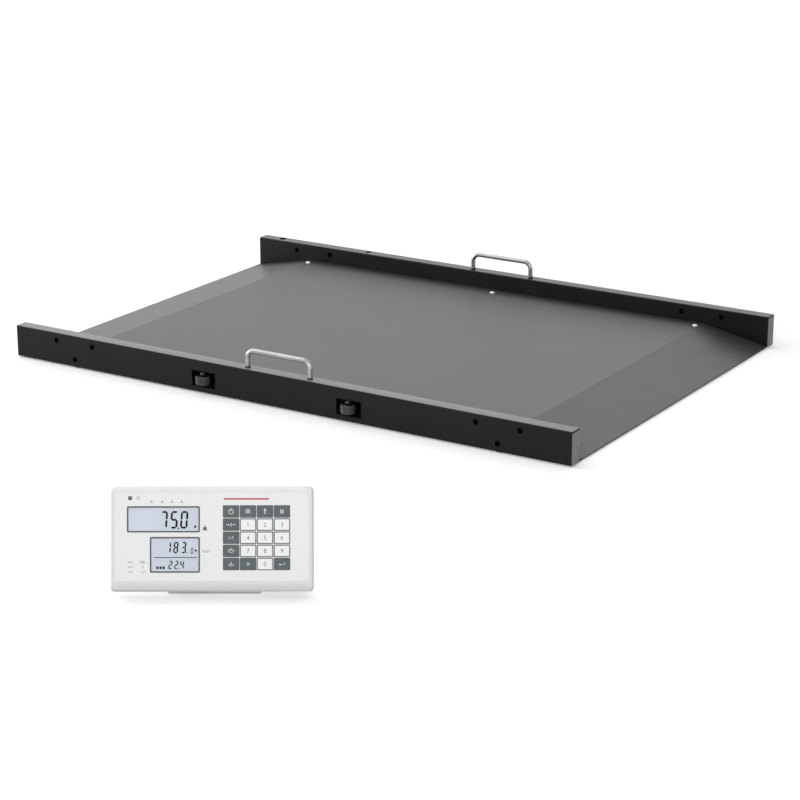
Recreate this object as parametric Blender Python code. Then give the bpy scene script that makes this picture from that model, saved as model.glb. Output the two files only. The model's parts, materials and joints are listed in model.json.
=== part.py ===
"""Low platform scale: a ramped deck between two hollow rails, and a separate indicator on a tilting stand."""

import math

import bmesh
import bpy
from mathutils import Matrix, Vector

# Fits that every piece shares, in metres
GAP = 0.0003
OVERRUN = 0.003
WELD = 0.000001

# Side rails, folded channels along X
RAIL_LENGTH = 1.200
RAIL_SPAN = 0.832
RAIL_WIDTH = 0.028
RAIL_HEIGHT = 0.060
RAIL_WALL = 0.002
RAIL_CORNER = 0.002
RAIL_END_CORNER = 0.0035
FLOOR_CLEARANCE = 0.003

# Deck plate, one bent sheet with a ramp at each end
DECK_RISE = 0.0275
DECK_THICKNESS = 0.003
RAMP_SPAN = 0.136
DECK_FLAT_LENGTH = RAIL_LENGTH - 2 * RAMP_SPAN
RAMP_SETBACK = 0.003
RAMP_TIP_CLEARANCE = 0.0012

# Deck frame: ledges of angle section and cross ribs of box section
LEDGE_SETBACK = 0.002
LEDGE_LENGTH = DECK_FLAT_LENGTH - 2 * LEDGE_SETBACK
LEDGE_REACH = 0.040
LEDGE_DROP = 0.016
LEDGE_THICKNESS = 0.003
RIB_COUNT = 4
RIB_SETBACK = 0.102
RIB_PITCH = (LEDGE_LENGTH - 2 * RIB_SETBACK) / (RIB_COUNT - 1)
RIB_WIDTH = 0.040
RIB_HEIGHT = 0.018
RIB_WALL = 0.002

# Deck screws, with domed heads
DECK_SCREW_SETBACK = 0.008
DECK_SCREW_INSET = 0.022
DECK_HEAD_RADIUS = 0.006
DECK_HEAD_HEIGHT = 0.0034
DECK_SEAT_DEPTH = 0.001
DECK_SHANK_RADIUS = 0.002
DECK_SHANK_LENGTH = 0.010

# Load cells, one in each end of each rail, and the screw holes for them
CELL_SETBACK = 0.1422
CELL_LENGTH = 0.120
CELL_HEIGHT = 0.018
CELL_SCREW_PITCH = 0.0856
CELL_SCREW_RISE = 0.045
CELL_EYE_RADIUS = 0.0055
CELL_EYE_PITCH = 0.046
LOW_SCREW_RISE = 0.014
CELL_BORE_RADIUS = 0.0028
SCREW_HOLE_RADIUS = 0.0048
END_HOLE_RADIUS = 0.002

# Levelling feet
FOOT_PAD_RADIUS = 0.0105
FOOT_PAD_HEIGHT = 0.012
FOOT_PAD_EDGE = 0.001
FOOT_STEM_RADIUS = 0.004
FOOT_STEM_TOP_MARGIN = 0.002

# Carrying handles, bent rod
HANDLE_PITCH = 0.135
HANDLE_HEIGHT = 0.0365
HANDLE_ROD_RADIUS = 0.0045
HANDLE_BEND_RADIUS = 0.0145
HANDLE_BORE_DEPTH = 0.012
HANDLE_BORE_RADIUS = 0.0028

# Transport wheels, upright axles, in windows of the near rail
WHEEL_OFFSET = 0.1575
WHEEL_RADIUS = 0.013
WHEEL_WIDTH = 0.0155
WHEEL_EDGE = 0.0015
WHEEL_REACH = 0.002
WHEEL_SIDE_GAP = 0.0005
AXLE_RADIUS = 0.003
AXLE_END = 0.0015
WINDOW_WIDTH = 0.052
WINDOW_BOTTOM = 0.0095
WINDOW_HEIGHT = 0.030
FORK_WIDTH = 0.024
FORK_PLATE = 0.002
FORK_NOSE = 0.007
FORK_CORNER = 0.009

# Closed holes in the top of the far rail
PLUG_DEPTH = 0.0012
PLUG_INSET = 0.012
LEFT_PLUG_SETBACK = 0.052
LEFT_PLUG_RADIUS = 0.008
RIGHT_PLUG_SETBACK = 0.273
RIGHT_PLUG_RADIUS = 0.0065

# Junction box under the deck and the signal socket in the far rail
BOX_LENGTH = 0.100
BOX_WIDTH = 0.060
BOX_HEIGHT = 0.016
BOX_WALL = 0.002
BOX_LEDGE_GAP = 0.008
SOCKET_RISE = 0.016
SOCKET_FLANGE_RADIUS = 0.0115
SOCKET_FLANGE_HEIGHT = 0.002
SOCKET_BARREL_RADIUS = 0.009
SOCKET_BARREL_REACH = 0.009
SOCKET_TAIL_RADIUS = 0.007
SOCKET_TAIL_LENGTH = 0.008
SOCKET_WELL_RADIUS = 0.0075
SOCKET_WELL_DEPTH = 0.0075

# Where the indicator stands, how it is turned and how far it leans back
STAND_X = 0.3965
STAND_DISTANCE = 0.7202
STAND_TURN = math.radians(32.0)
LEAN = math.radians(18.1)
PIVOT_HEIGHT = 0.054

# Keypad, five rows of four keys
KEY_ROWS = (
    ("key_power", "key_printer", "key_body_index", "key_hold"),
    ("key_zero", "key_1", "key_2", "key_3"),
    ("key_memory", "key_4", "key_5", "key_6"),
    ("key_preset", "key_7", "key_8", "key_9"),
    ("key_tare", "key_clear", "key_0", "key_enter"),
)
KEY_WIDTH = 0.0226
KEY_HEIGHT = 0.0169
KEY_SIDE_GAP = 0.0016
KEY_ROW_GAP = 0.00184
KEY_PITCH_X = KEY_WIDTH + KEY_SIDE_GAP
KEY_PITCH_Z = KEY_HEIGHT + KEY_ROW_GAP
KEYPAD_WIDTH = len(KEY_ROWS[0]) * KEY_PITCH_X - KEY_SIDE_GAP
KEYPAD_HEIGHT = len(KEY_ROWS) * KEY_PITCH_Z - KEY_ROW_GAP
KEYPAD_SIDE_MARGIN = 0.0333
KEYPAD_TOP_MARGIN = 0.02675
KEYPAD_CHIN_MARGIN = 0.03139
KEY_CORNER = 0.001
KEY_CLEARANCE = 0.0004
KEY_PROUD = 0.0004
KEY_DEPTH = 0.006

# Displays, one above the other, with their right sides in line
WEIGHT_WIDTH = 0.1042
HEIGHT_WIDTH = 0.0715
DISPLAY_SIDE_MARGIN = 0.0242
DISPLAY_TOP_MARGIN = 0.0276
DISPLAY_CHIN_MARGIN = 0.0275
DISPLAY_GAP = 0.0064
DISPLAY_KEYPAD_GAP = 0.0331
WEIGHT_SHARE = 0.4226
BEZEL_WIDTH = 0.0021
BEZEL_DEPTH = 0.0008
BEZEL_CORNER = 0.002

# Indicator housing. Depths run backwards from the front face
CASE_WIDTH = (DISPLAY_SIDE_MARGIN + WEIGHT_WIDTH + DISPLAY_KEYPAD_GAP
              + KEYPAD_WIDTH + KEYPAD_SIDE_MARGIN)
CASE_HEIGHT = KEYPAD_CHIN_MARGIN + KEYPAD_HEIGHT + KEYPAD_TOP_MARGIN
FACE_AHEAD = 0.058
PIVOT_CHIN_DISTANCE = 0.055
FACE_RISE = CASE_HEIGHT / 2 - PIVOT_CHIN_DISTANCE
CASE_TOP_CORNER = 0.007
CASE_LOW_CORNER = 0.005
CASE_WALL = 0.0025
FRONT_DEPTH = 0.026
SHOULDER_DEPTH = 0.007
BROW_DEPTH = 0.0026
BROW_SIDE_INSET = 0.0012
BROW_CHIN_INSET = 0.004
RIM_SIDE_INSET = 0.004
RIM_TOP_INSET = 0.005
RIM_CHIN_INSET = 0.013
CAVITY_CHIN_INSET = 0.006
REAR_DEPTH = 0.040
REAR_BEND_DEPTH = 0.034
REAR_BEND_INSET = 0.001
REAR_INSET = 0.007
REAR_CHIN_INSET = 0.010

# Label plate with the windows, in a shallow pocket of the front
LABEL_LEFT_MARGIN = 0.0056
LABEL_RIGHT_MARGIN = 0.0060
LABEL_CHIN_MARGIN = 0.0147
LABEL_TOP_MARGIN = 0.0071
LABEL_LEFT = LABEL_LEFT_MARGIN - CASE_WIDTH / 2
LABEL_RIGHT = CASE_WIDTH / 2 - LABEL_RIGHT_MARGIN
LABEL_LOW = LABEL_CHIN_MARGIN - CASE_HEIGHT / 2
LABEL_HIGH = CASE_HEIGHT / 2 - LABEL_TOP_MARGIN
LABEL_CORNER = 0.002
LABEL_POCKET = 0.0009
LABEL_THICKNESS = 0.0006

# Places of the displays and the first key, from the middle of the face
WEIGHT_LEFT = DISPLAY_SIDE_MARGIN - CASE_WIDTH / 2
WEIGHT_RIGHT = WEIGHT_LEFT + WEIGHT_WIDTH
WEIGHT_HIGH = CASE_HEIGHT / 2 - DISPLAY_TOP_MARGIN
HEIGHT_LOW = DISPLAY_CHIN_MARGIN - CASE_HEIGHT / 2
WEIGHT_LOW = WEIGHT_HIGH - WEIGHT_SHARE * (WEIGHT_HIGH - HEIGHT_LOW - DISPLAY_GAP)
HEIGHT_RIGHT = WEIGHT_RIGHT
HEIGHT_LEFT = HEIGHT_RIGHT - HEIGHT_WIDTH
HEIGHT_HIGH = WEIGHT_LOW - DISPLAY_GAP
KEY_LEFT = CASE_WIDTH / 2 - KEYPAD_SIDE_MARGIN - KEYPAD_WIDTH + KEY_WIDTH / 2
KEY_TOP = CASE_HEIGHT / 2 - KEYPAD_TOP_MARGIN - KEY_HEIGHT / 2

# Main board, its switches and the power light
BOARD_DEPTH = 0.0120
BOARD_THICKNESS = 0.0016
BOARD_SIDE_MARGIN = 0.011
BOARD_TOP_MARGIN = 0.013
BOARD_WIDTH = CASE_WIDTH - 2 * BOARD_SIDE_MARGIN
BOARD_HEIGHT = CASE_HEIGHT - 2 * BOARD_TOP_MARGIN
SWITCH_SIDE = 0.006
SWITCH_TOP_DEPTH = 0.0064
LIGHT_SIDE_MARGIN = 0.0289
LIGHT_TOP_MARGIN = 0.0160
LIGHT_X = LIGHT_SIDE_MARGIN - CASE_WIDTH / 2
LIGHT_Z = CASE_HEIGHT / 2 - LIGHT_TOP_MARGIN
LIGHT_RADIUS = 0.0016

# Posts inside the front housing and the bores for the screws that close the housing
POST_SIDE_MARGIN = 0.017
POST_TOP_MARGIN = 0.020
POST_X = CASE_WIDTH / 2 - POST_SIDE_MARGIN
POST_Z = CASE_HEIGHT / 2 - POST_TOP_MARGIN
POST_SHOULDER_RADIUS = 0.0055
POST_RADIUS = 0.004
CASE_BORE_RADIUS = 0.0018

# Battery pack, its well and its cover
WELL_WIDTH = 0.084
WELL_HEIGHT = 0.044
WELL_CHIN_MARGIN = 0.031
WELL_Z = WELL_CHIN_MARGIN + (WELL_HEIGHT - CASE_HEIGHT) / 2
WELL_WALL = 0.0015
WELL_DEPTH = 0.020
COVER_FLANGE = 0.003
COVER_THICKNESS = 0.0015
COVER_RIM = 0.0025
PACK_THICKNESS = 0.014

# Tilting stand and its clamp knobs
LUG_WIDTH = 0.012
LUG_WELL_GAP = 0.010
LUG_X = (WELL_WIDTH + LUG_WIDTH) / 2 + LUG_WELL_GAP
LUG_RADIUS = 0.010
EAR_THICKNESS = 0.0025
EAR_RADIUS = 0.012
STAND_AHEAD = 0.030
STAND_BEHIND = 0.070
STAND_HOLE_RADIUS = 0.0025
STAND_HOLE_SETBACK = 0.052
STAND_HOLE_PITCH = 0.080
KNOB_RADIUS = 0.013
KNOB_WIDTH = 0.014
KNOB_EDGE = 0.0015
KNOB_SHANK_RADIUS = 0.003
KNOB_SHANK_LENGTH = 0.012

# Socket in the back of the indicator
CASE_SOCKET_SIDE_MARGIN = 0.040
CASE_SOCKET_CHIN_MARGIN = 0.040
CASE_SOCKET_X = CASE_WIDTH / 2 - CASE_SOCKET_SIDE_MARGIN
CASE_SOCKET_Z = CASE_SOCKET_CHIN_MARGIN - CASE_HEIGHT / 2

# Facets of round pieces and corners
ROUND_SIDES = 16
SMALL_SIDES = 10
WHEEL_SIDES = 24
ARC_STEPS = 6
CORNER_STEPS = 2
CASE_STEPS = 4
RAIL_STEPS = 3
DOME_STEPS = 3
ROD_FACETS = 3
SMOOTH_ANGLE = math.radians(35)

# Finishes: colour, roughness, metallic
BLACK_PAINT = ((0.025, 0.026, 0.027), 0.40, 0.0)
DECK_PAINT = ((0.090, 0.091, 0.092), 0.60, 0.0)
BARE_STEEL = ((0.62, 0.62, 0.60), 0.30, 1.0)
ALUMINIUM = ((0.70, 0.71, 0.72), 0.40, 1.0)
GREY_RUBBER = ((0.060, 0.062, 0.065), 0.60, 0.0)
BLACK_PLASTIC = ((0.020, 0.020, 0.022), 0.50, 0.0)
WHITE_PLASTIC = ((0.76, 0.77, 0.77), 0.40, 0.0)
DARK_KEY = ((0.072, 0.092, 0.097), 0.45, 0.0)
DISPLAY_GLASS = ((0.60, 0.65, 0.74), 0.20, 0.0)
BOARD_GREEN = ((0.020, 0.120, 0.050), 0.50, 0.0)
PACK_BLUE = ((0.050, 0.100, 0.300), 0.45, 0.0)
DARK_KEYS = {"key_power", "key_printer", "key_body_index", "key_hold", "key_zero", "key_memory",
             "key_preset", "key_tare", "key_clear", "key_enter"}

# Turns a shape built along Z so that it runs along another axis
ALONG = {
    "X": Matrix.Rotation(math.pi / 2, 4, "Y"),
    "Y": Matrix.Rotation(-math.pi / 2, 4, "X"),
    "Z": Matrix.Identity(4),
}


def lifted(axis, across, up, along):
    """The 3-D point of an outline point that lies across an axis."""
    if axis == "X":
        return (along, across, up)
    if axis == "Y":
        return (across, along, up)
    return (across, up, along)


def add_box(bm, low, high):
    """Add a box between two corners."""
    size = [top - bottom for bottom, top in zip(low, high)]
    middle = [(top + bottom) / 2 for bottom, top in zip(low, high)]
    place = Matrix.Translation(middle) @ Matrix.Diagonal((*size, 1))
    bmesh.ops.create_cube(bm, size=1, matrix=place)


def add_rod(bm, start, length, radius, axis, sides=ROUND_SIDES):
    """Add a round bar that starts at a point and runs along an axis."""
    place = Matrix.Translation(start) @ ALONG[axis] @ Matrix.Translation((0, 0, length / 2))
    bmesh.ops.create_cone(bm, cap_ends=True, segments=sides, radius1=radius, radius2=radius,
                          depth=length, matrix=place)


def add_prism(bm, outline, axis, start, length):
    """Extrude a closed outline along an axis."""
    verts = [bm.verts.new(lifted(axis, across, up, start)) for across, up in outline]
    face = bm.faces.new(verts)
    made = bmesh.ops.extrude_face_region(bm, geom=[face])["geom"]
    ends = [item for item in made if isinstance(item, bmesh.types.BMVert)]
    bmesh.ops.translate(bm, verts=ends, vec=lifted(axis, 0, 0, length))


def add_turned(bm, profile, place, sides=ROUND_SIDES):
    """Turn a profile of (radius, height) points about Z, and move the solid by the matrix place."""
    turned = bmesh.new()
    verts = [turned.verts.new((radius, 0, height)) for radius, height in profile]
    edges = [turned.edges.new(pair) for pair in zip(verts, verts[1:])]
    bmesh.ops.spin(turned, geom=verts + edges, cent=(0, 0, 0), axis=(0, 0, 1), angle=2 * math.pi,
                   steps=sides, use_merge=True)
    bmesh.ops.remove_doubles(turned, verts=turned.verts, dist=WELD)
    bmesh.ops.transform(turned, matrix=place, verts=turned.verts)
    held = bpy.data.meshes.new("turned")
    turned.to_mesh(held)
    turned.free()
    bm.from_mesh(held)
    bpy.data.meshes.remove(held)


def rounded_outline(left, right, low, high, low_radius, high_radius, steps=CORNER_STEPS):
    """Points of a rectangle with rounded corners, anticlockwise from the lower left."""
    corners = (
        (left + low_radius, low + low_radius, low_radius, math.pi),
        (right - low_radius, low + low_radius, low_radius, math.pi * 3 / 2),
        (right - high_radius, high - high_radius, high_radius, 0),
        (left + high_radius, high - high_radius, high_radius, math.pi / 2),
    )
    points = []
    for across, up, radius, start in corners:
        for step in range(steps + 1):
            angle = start + math.pi / 2 * step / steps
            points.append((across + radius * math.cos(angle), up + radius * math.sin(angle)))
    return points


def box_outline(left, right, low, high):
    """Points of a plain rectangle."""
    return [(left, low), (right, low), (right, high), (left, high)]


def add_loft(bm, sections, axis):
    """Skin outlines of equal point counts, each with its place along an axis, and close both ends."""
    rings = []
    for outline, along in sections:
        verts = [bm.verts.new(lifted(axis, across, up, along)) for across, up in outline]
        rings.append([bm.edges.new(pair) for pair in zip(verts, verts[1:] + verts[:1])])
    for ring, following in zip(rings, rings[1:]):
        bmesh.ops.bridge_loops(bm, edges=ring + following)
    for ring in (rings[0], rings[-1]):
        bmesh.ops.contextual_create(bm, geom=ring)


def facing_out(bm):
    """Turn every face of a closed shape outwards."""
    bmesh.ops.recalc_face_normals(bm, faces=bm.faces)
    return bm


def combined(bm, tool, operation):
    """Cut the tool's solids out of a shape, or join them to it."""
    shapes = []
    for source in (bm, tool):
        mesh = bpy.data.meshes.new("shape")
        facing_out(source).to_mesh(mesh)
        source.free()
        shape = bpy.data.objects.new("shape", mesh)
        bpy.context.scene.collection.objects.link(shape)
        shapes.append(shape)
    modifier = shapes[0].modifiers.new("shape", "BOOLEAN")
    modifier.operation = operation
    modifier.solver = "EXACT"
    modifier.object = shapes[1]
    result = bmesh.new()
    result.from_object(shapes[0], bpy.context.evaluated_depsgraph_get())
    for shape in shapes:
        bpy.data.meshes.remove(shape.data)
    return result


def cut(bm, tool):
    """The shape without the tool's solids."""
    return combined(bm, tool, "DIFFERENCE")


def joined(bm, tool):
    """The shape with the tool's solids."""
    return combined(bm, tool, "UNION")


def dress(obj, finish):
    """Give an object its own material."""
    colour, roughness, metallic = finish
    material = bpy.data.materials.new(obj.name)
    material.use_nodes = True
    shader = material.node_tree.nodes["Principled BSDF"]
    shader.inputs["Base Color"].default_value = (*colour, 1)
    shader.inputs["Roughness"].default_value = roughness
    shader.inputs["Metallic"].default_value = metallic
    obj.data.materials.clear()
    obj.data.materials.append(material)


def node(name, bm, finish, parent, location=(0, 0, 0), smooth=True):
    """Make the named object of one sub-part."""
    mesh = bpy.data.meshes.new(name)
    facing_out(bm).to_mesh(mesh)
    bm.free()
    if smooth:
        mesh.shade_smooth()
        mesh.set_sharp_from_angle(angle=SMOOTH_ANGLE)
    obj = bpy.data.objects.new(name, mesh)
    bpy.context.scene.collection.objects.link(obj)
    obj.parent = parent
    obj.location = location
    dress(obj, finish)
    return obj


def frame(name, parent=None, location=(0, 0, 0), rotation=(0, 0, 0)):
    """Make an empty that carries other objects."""
    empty = bpy.data.objects.new(name, None)
    bpy.context.scene.collection.objects.link(empty)
    empty.parent = parent
    empty.location = location
    empty.rotation_euler = rotation
    return empty


# Places that several pieces share, in the platform's frame
RAIL_CENTRE = (RAIL_SPAN - RAIL_WIDTH) / 2
RAIL_TOP = FLOOR_CLEARANCE + RAIL_HEIGHT
INNER_FACE = RAIL_SPAN / 2 - RAIL_WIDTH
BORE_HALF = RAIL_WIDTH / 2 - RAIL_WALL
DECK_TOP = FLOOR_CLEARANCE + DECK_RISE
DECK_UNDERSIDE = DECK_TOP - DECK_THICKNESS
CELL_Z = FLOOR_CLEARANCE + CELL_SCREW_RISE
WHEEL_Z = FLOOR_CLEARANCE + WINDOW_BOTTOM + WINDOW_HEIGHT / 2
WHEEL_Y = -RAIL_SPAN / 2 - WHEEL_REACH
CELL_OFFSET = RAIL_LENGTH / 2 - CELL_SETBACK
DECK_SCREW_OFFSET = DECK_FLAT_LENGTH / 2 - DECK_SCREW_SETBACK
STAND_Y = -RAIL_SPAN / 2 - STAND_DISTANCE
ENDS = ((-1, "left"), (1, "right"))
SIDES = ((-1, "near"), (1, "far"))


def rail_shell(side):
    """Folded channel of one rail, open below and closed at its ends, with the holes that both rails have."""
    half = RAIL_WIDTH / 2
    bm = bmesh.new()
    add_box(bm, (-RAIL_LENGTH / 2, -half, 0), (RAIL_LENGTH / 2, half, RAIL_HEIGHT))
    bends = [edge for edge in bm.edges if edge.verts[0].co.z != edge.verts[1].co.z]
    bmesh.ops.bevel(bm, geom=bends, offset=RAIL_END_CORNER, segments=RAIL_STEPS, affect="EDGES", profile=0.5)
    folds = [edge for edge in bm.edges if all(vert.co.z > RAIL_HEIGHT / 2 for vert in edge.verts)]
    bmesh.ops.bevel(bm, geom=folds, offset=RAIL_CORNER, segments=CORNER_STEPS, affect="EDGES", profile=0.5)
    hollow = bmesh.new()
    inner_end = RAIL_LENGTH / 2 - RAIL_WALL
    add_box(hollow, (-inner_end, -BORE_HALF, -OVERRUN), (inner_end, BORE_HALF, RAIL_HEIGHT - RAIL_WALL))
    bm = cut(bm, hollow)
    holes = bmesh.new()
    for end, _ in ENDS:
        middle = end * CELL_OFFSET
        for offset in (-CELL_SCREW_PITCH / 2, CELL_SCREW_PITCH / 2):
            add_rod(holes, (middle + offset, -half - OVERRUN, CELL_SCREW_RISE),
                    RAIL_WIDTH + 2 * OVERRUN, SCREW_HOLE_RADIUS, "Y", SMALL_SIDES)
        low_start = side * (half - RAIL_WALL / 2) - RAIL_WALL
        add_rod(holes, (middle, low_start, LOW_SCREW_RISE), 2 * RAIL_WALL,
                SCREW_HOLE_RADIUS, "Y", SMALL_SIDES)
        add_rod(holes, (end * HANDLE_PITCH / 2, 0, RAIL_HEIGHT - 2 * RAIL_WALL),
                2 * RAIL_WALL + OVERRUN, HANDLE_BORE_RADIUS, "Z", SMALL_SIDES)
        end_start = end * (RAIL_LENGTH / 2 - RAIL_WALL / 2) - RAIL_WALL
        add_rod(holes, (end_start, 0, RAIL_HEIGHT / 2), 2 * RAIL_WALL, END_HOLE_RADIUS, "X", SMALL_SIDES)
    return cut(bm, holes)


def make_near_rail(platform):
    """Near rail with the two wheel windows in its outer face."""
    windows = bmesh.new()
    for end, _ in ENDS:
        middle = end * WHEEL_OFFSET
        add_box(windows,
                (middle - WINDOW_WIDTH / 2, -RAIL_WIDTH / 2 - OVERRUN, WINDOW_BOTTOM),
                (middle + WINDOW_WIDTH / 2, -BORE_HALF + OVERRUN, WINDOW_BOTTOM + WINDOW_HEIGHT))
    node("near_rail", cut(rail_shell(-1), windows), BLACK_PAINT, platform,
         (0, -RAIL_CENTRE, FLOOR_CLEARANCE))


def make_far_rail(platform):
    """Far rail with the two closed holes in its top and the hole for the signal socket."""
    holes = bmesh.new()
    plug_y = RAIL_WIDTH / 2 - PLUG_INSET
    plugs = ((LEFT_PLUG_SETBACK, LEFT_PLUG_RADIUS), (RIGHT_PLUG_SETBACK, RIGHT_PLUG_RADIUS))
    for setback, radius in plugs:
        start = (setback - RAIL_LENGTH / 2, plug_y, RAIL_HEIGHT - PLUG_DEPTH)
        add_rod(holes, start, PLUG_DEPTH + OVERRUN, radius, "Z")
    add_rod(holes, (0, BORE_HALF - RAIL_WALL, SOCKET_RISE), 2 * RAIL_WALL + OVERRUN,
            SOCKET_TAIL_RADIUS + GAP, "Y")
    node("far_rail", cut(rail_shell(1), holes), BLACK_PAINT, platform,
         (0, RAIL_CENTRE, FLOOR_CLEARANCE))


def make_deck(platform):
    """Deck plate: a flat middle and a ramp down to the floor at each end."""
    tip = RAIL_LENGTH / 2 - RAMP_SETBACK
    crease = DECK_FLAT_LENGTH / 2
    tip_top = RAMP_TIP_CLEARANCE + DECK_THICKNESS
    outline = [
        (-tip, RAMP_TIP_CLEARANCE), (-crease, DECK_UNDERSIDE), (crease, DECK_UNDERSIDE),
        (tip, RAMP_TIP_CLEARANCE), (tip, tip_top), (crease, DECK_TOP), (-crease, DECK_TOP), (-tip, tip_top),
    ]
    width = 2 * (INNER_FACE - GAP)
    bm = bmesh.new()
    add_prism(bm, outline, "Y", -width / 2, width)
    holes = bmesh.new()
    seats = bmesh.new()
    for x, y in deck_screw_places():
        add_rod(holes, (x, y, DECK_UNDERSIDE - OVERRUN), DECK_THICKNESS + 2 * OVERRUN,
                DECK_SHANK_RADIUS + GAP, "Z", SMALL_SIDES)
        add_rod(seats, (x, y, DECK_TOP - DECK_SEAT_DEPTH), DECK_SEAT_DEPTH + OVERRUN,
                DECK_HEAD_RADIUS + GAP, "Z", SMALL_SIDES)
    node("deck_plate", cut(cut(bm, holes), seats), DECK_PAINT, platform, smooth=False)


def deck_screw_places():
    """Centres of the six deck screws."""
    edge = INNER_FACE - DECK_SCREW_INSET
    return [(way * DECK_SCREW_OFFSET, side * edge) for side, _ in SIDES for way in (-1, 0, 1)]


def make_deck_screw(name, x, y, platform):
    """Domed screw that holds the deck to its frame, with its head let into the deck."""
    profile = []
    for step in range(DOME_STEPS + 1):
        angle = math.pi / 2 * step / DOME_STEPS
        profile.append((DECK_HEAD_RADIUS * math.sin(angle), DECK_HEAD_HEIGHT * math.cos(angle)))
    seat = GAP - DECK_SEAT_DEPTH
    profile += [(DECK_HEAD_RADIUS, seat), (DECK_SHANK_RADIUS, seat)]
    profile += [(DECK_SHANK_RADIUS, -DECK_SHANK_LENGTH), (0, -DECK_SHANK_LENGTH)]
    bm = bmesh.new()
    add_turned(bm, profile, Matrix.Identity(4), SMALL_SIDES)
    node(name, bm, BARE_STEEL, platform, (x, y, DECK_TOP))


def make_deck_frame(platform):
    """Welded frame under the deck: an angle along each rail, and box ribs between the angles."""
    top = DECK_UNDERSIDE - GAP
    outer = INNER_FACE - GAP
    bm = bmesh.new()
    for side, _ in SIDES:
        outline = [
            (side * outer, top), (side * outer, top - LEDGE_DROP),
            (side * (outer - LEDGE_THICKNESS), top - LEDGE_DROP),
            (side * (outer - LEDGE_THICKNESS), top - LEDGE_THICKNESS),
            (side * (outer - LEDGE_REACH), top - LEDGE_THICKNESS),
            (side * (outer - LEDGE_REACH), top),
        ]
        add_prism(bm, outline, "X", -LEDGE_LENGTH / 2, LEDGE_LENGTH)
    reach = outer - LEDGE_REACH + LEDGE_THICKNESS
    ribs = bmesh.new()
    bores = bmesh.new()
    for number in range(RIB_COUNT):
        middle = (number - (RIB_COUNT - 1) / 2) * RIB_PITCH
        left = middle - RIB_WIDTH / 2
        right = middle + RIB_WIDTH / 2
        add_prism(ribs, box_outline(left, right, top - RIB_HEIGHT, top), "Y", -reach, 2 * reach)
        floor = top - RIB_HEIGHT + RIB_WALL
        inner = box_outline(left + RIB_WALL, right - RIB_WALL, floor, top - LEDGE_THICKNESS)
        add_prism(bores, inner, "Y", -reach - OVERRUN, 2 * (reach + OVERRUN))
    for x, y in deck_screw_places():
        add_rod(bores, (x, y, top - LEDGE_THICKNESS - OVERRUN), LEDGE_THICKNESS + 2 * OVERRUN,
                DECK_SHANK_RADIUS + GAP, "Z", SMALL_SIDES)
    node("deck_frame", cut(joined(bm, ribs), bores), BLACK_PAINT, platform, smooth=False)


def make_load_cell(name, side, end, platform):
    """Double-ended beam that carries one corner of the scale."""
    half = BORE_HALF - GAP
    bm = bmesh.new()
    add_box(bm, (-CELL_LENGTH / 2, -half, -CELL_HEIGHT / 2), (CELL_LENGTH / 2, half, CELL_HEIGHT / 2))
    holes = bmesh.new()
    for way in (-1, 1):
        add_rod(holes, (way * CELL_SCREW_PITCH / 2, -half - OVERRUN, 0), 2 * (half + OVERRUN),
                CELL_BORE_RADIUS, "Y", SMALL_SIDES)
        add_rod(holes, (way * CELL_EYE_PITCH / 2, -half - OVERRUN, 0), 2 * (half + OVERRUN),
                CELL_EYE_RADIUS, "Y")
    add_rod(holes, (0, 0, -CELL_HEIGHT / 2 - OVERRUN), CELL_HEIGHT + 2 * OVERRUN,
            FOOT_STEM_RADIUS + GAP, "Z")
    node(name, cut(bm, holes), ALUMINIUM, platform, (end * CELL_OFFSET, side * RAIL_CENTRE, CELL_Z))


def make_foot(name, side, end, platform):
    """Levelling foot: a rubber pad on a threaded stem, with its origin on the floor."""
    stem_top = CELL_Z + CELL_HEIGHT / 2 + FOOT_STEM_TOP_MARGIN
    profile = (
        (0, 0), (FOOT_PAD_RADIUS - FOOT_PAD_EDGE, 0), (FOOT_PAD_RADIUS, FOOT_PAD_EDGE),
        (FOOT_PAD_RADIUS, FOOT_PAD_HEIGHT), (FOOT_STEM_RADIUS, FOOT_PAD_HEIGHT),
        (FOOT_STEM_RADIUS, stem_top), (0, stem_top),
    )
    bm = bmesh.new()
    add_turned(bm, profile, Matrix.Identity(4))
    node(name, bm, GREY_RUBBER, platform, (end * CELL_OFFSET, side * RAIL_CENTRE, 0))


def handle_route():
    """Centre line of a handle above the rail's top: two legs, two bends and a straight bar."""
    top = HANDLE_HEIGHT - HANDLE_ROD_RADIUS
    half = HANDLE_PITCH / 2
    points = [(-half, GAP)]
    for step in range(ARC_STEPS + 1):
        angle = math.pi - math.pi / 2 * step / ARC_STEPS
        points.append((-half + HANDLE_BEND_RADIUS * (1 + math.cos(angle)),
                       top - HANDLE_BEND_RADIUS * (1 - math.sin(angle))))
    return points + [(-x, z) for x, z in reversed(points)]


def curve_solid(name, routes, radius, facets):
    """Object of round bars along the given routes, closed at their ends."""
    curve = bpy.data.curves.new(name, "CURVE")
    curve.dimensions = "3D"
    curve.bevel_depth = radius
    curve.bevel_resolution = facets
    curve.use_fill_caps = True
    for route in routes:
        spline = curve.splines.new("POLY")
        spline.points.add(len(route) - 1)
        for point, place in zip(spline.points, route):
            point.co = (*place, 1)
    obj = bpy.data.objects.new(name, curve)
    bpy.context.scene.collection.objects.link(obj)
    return obj


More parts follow.
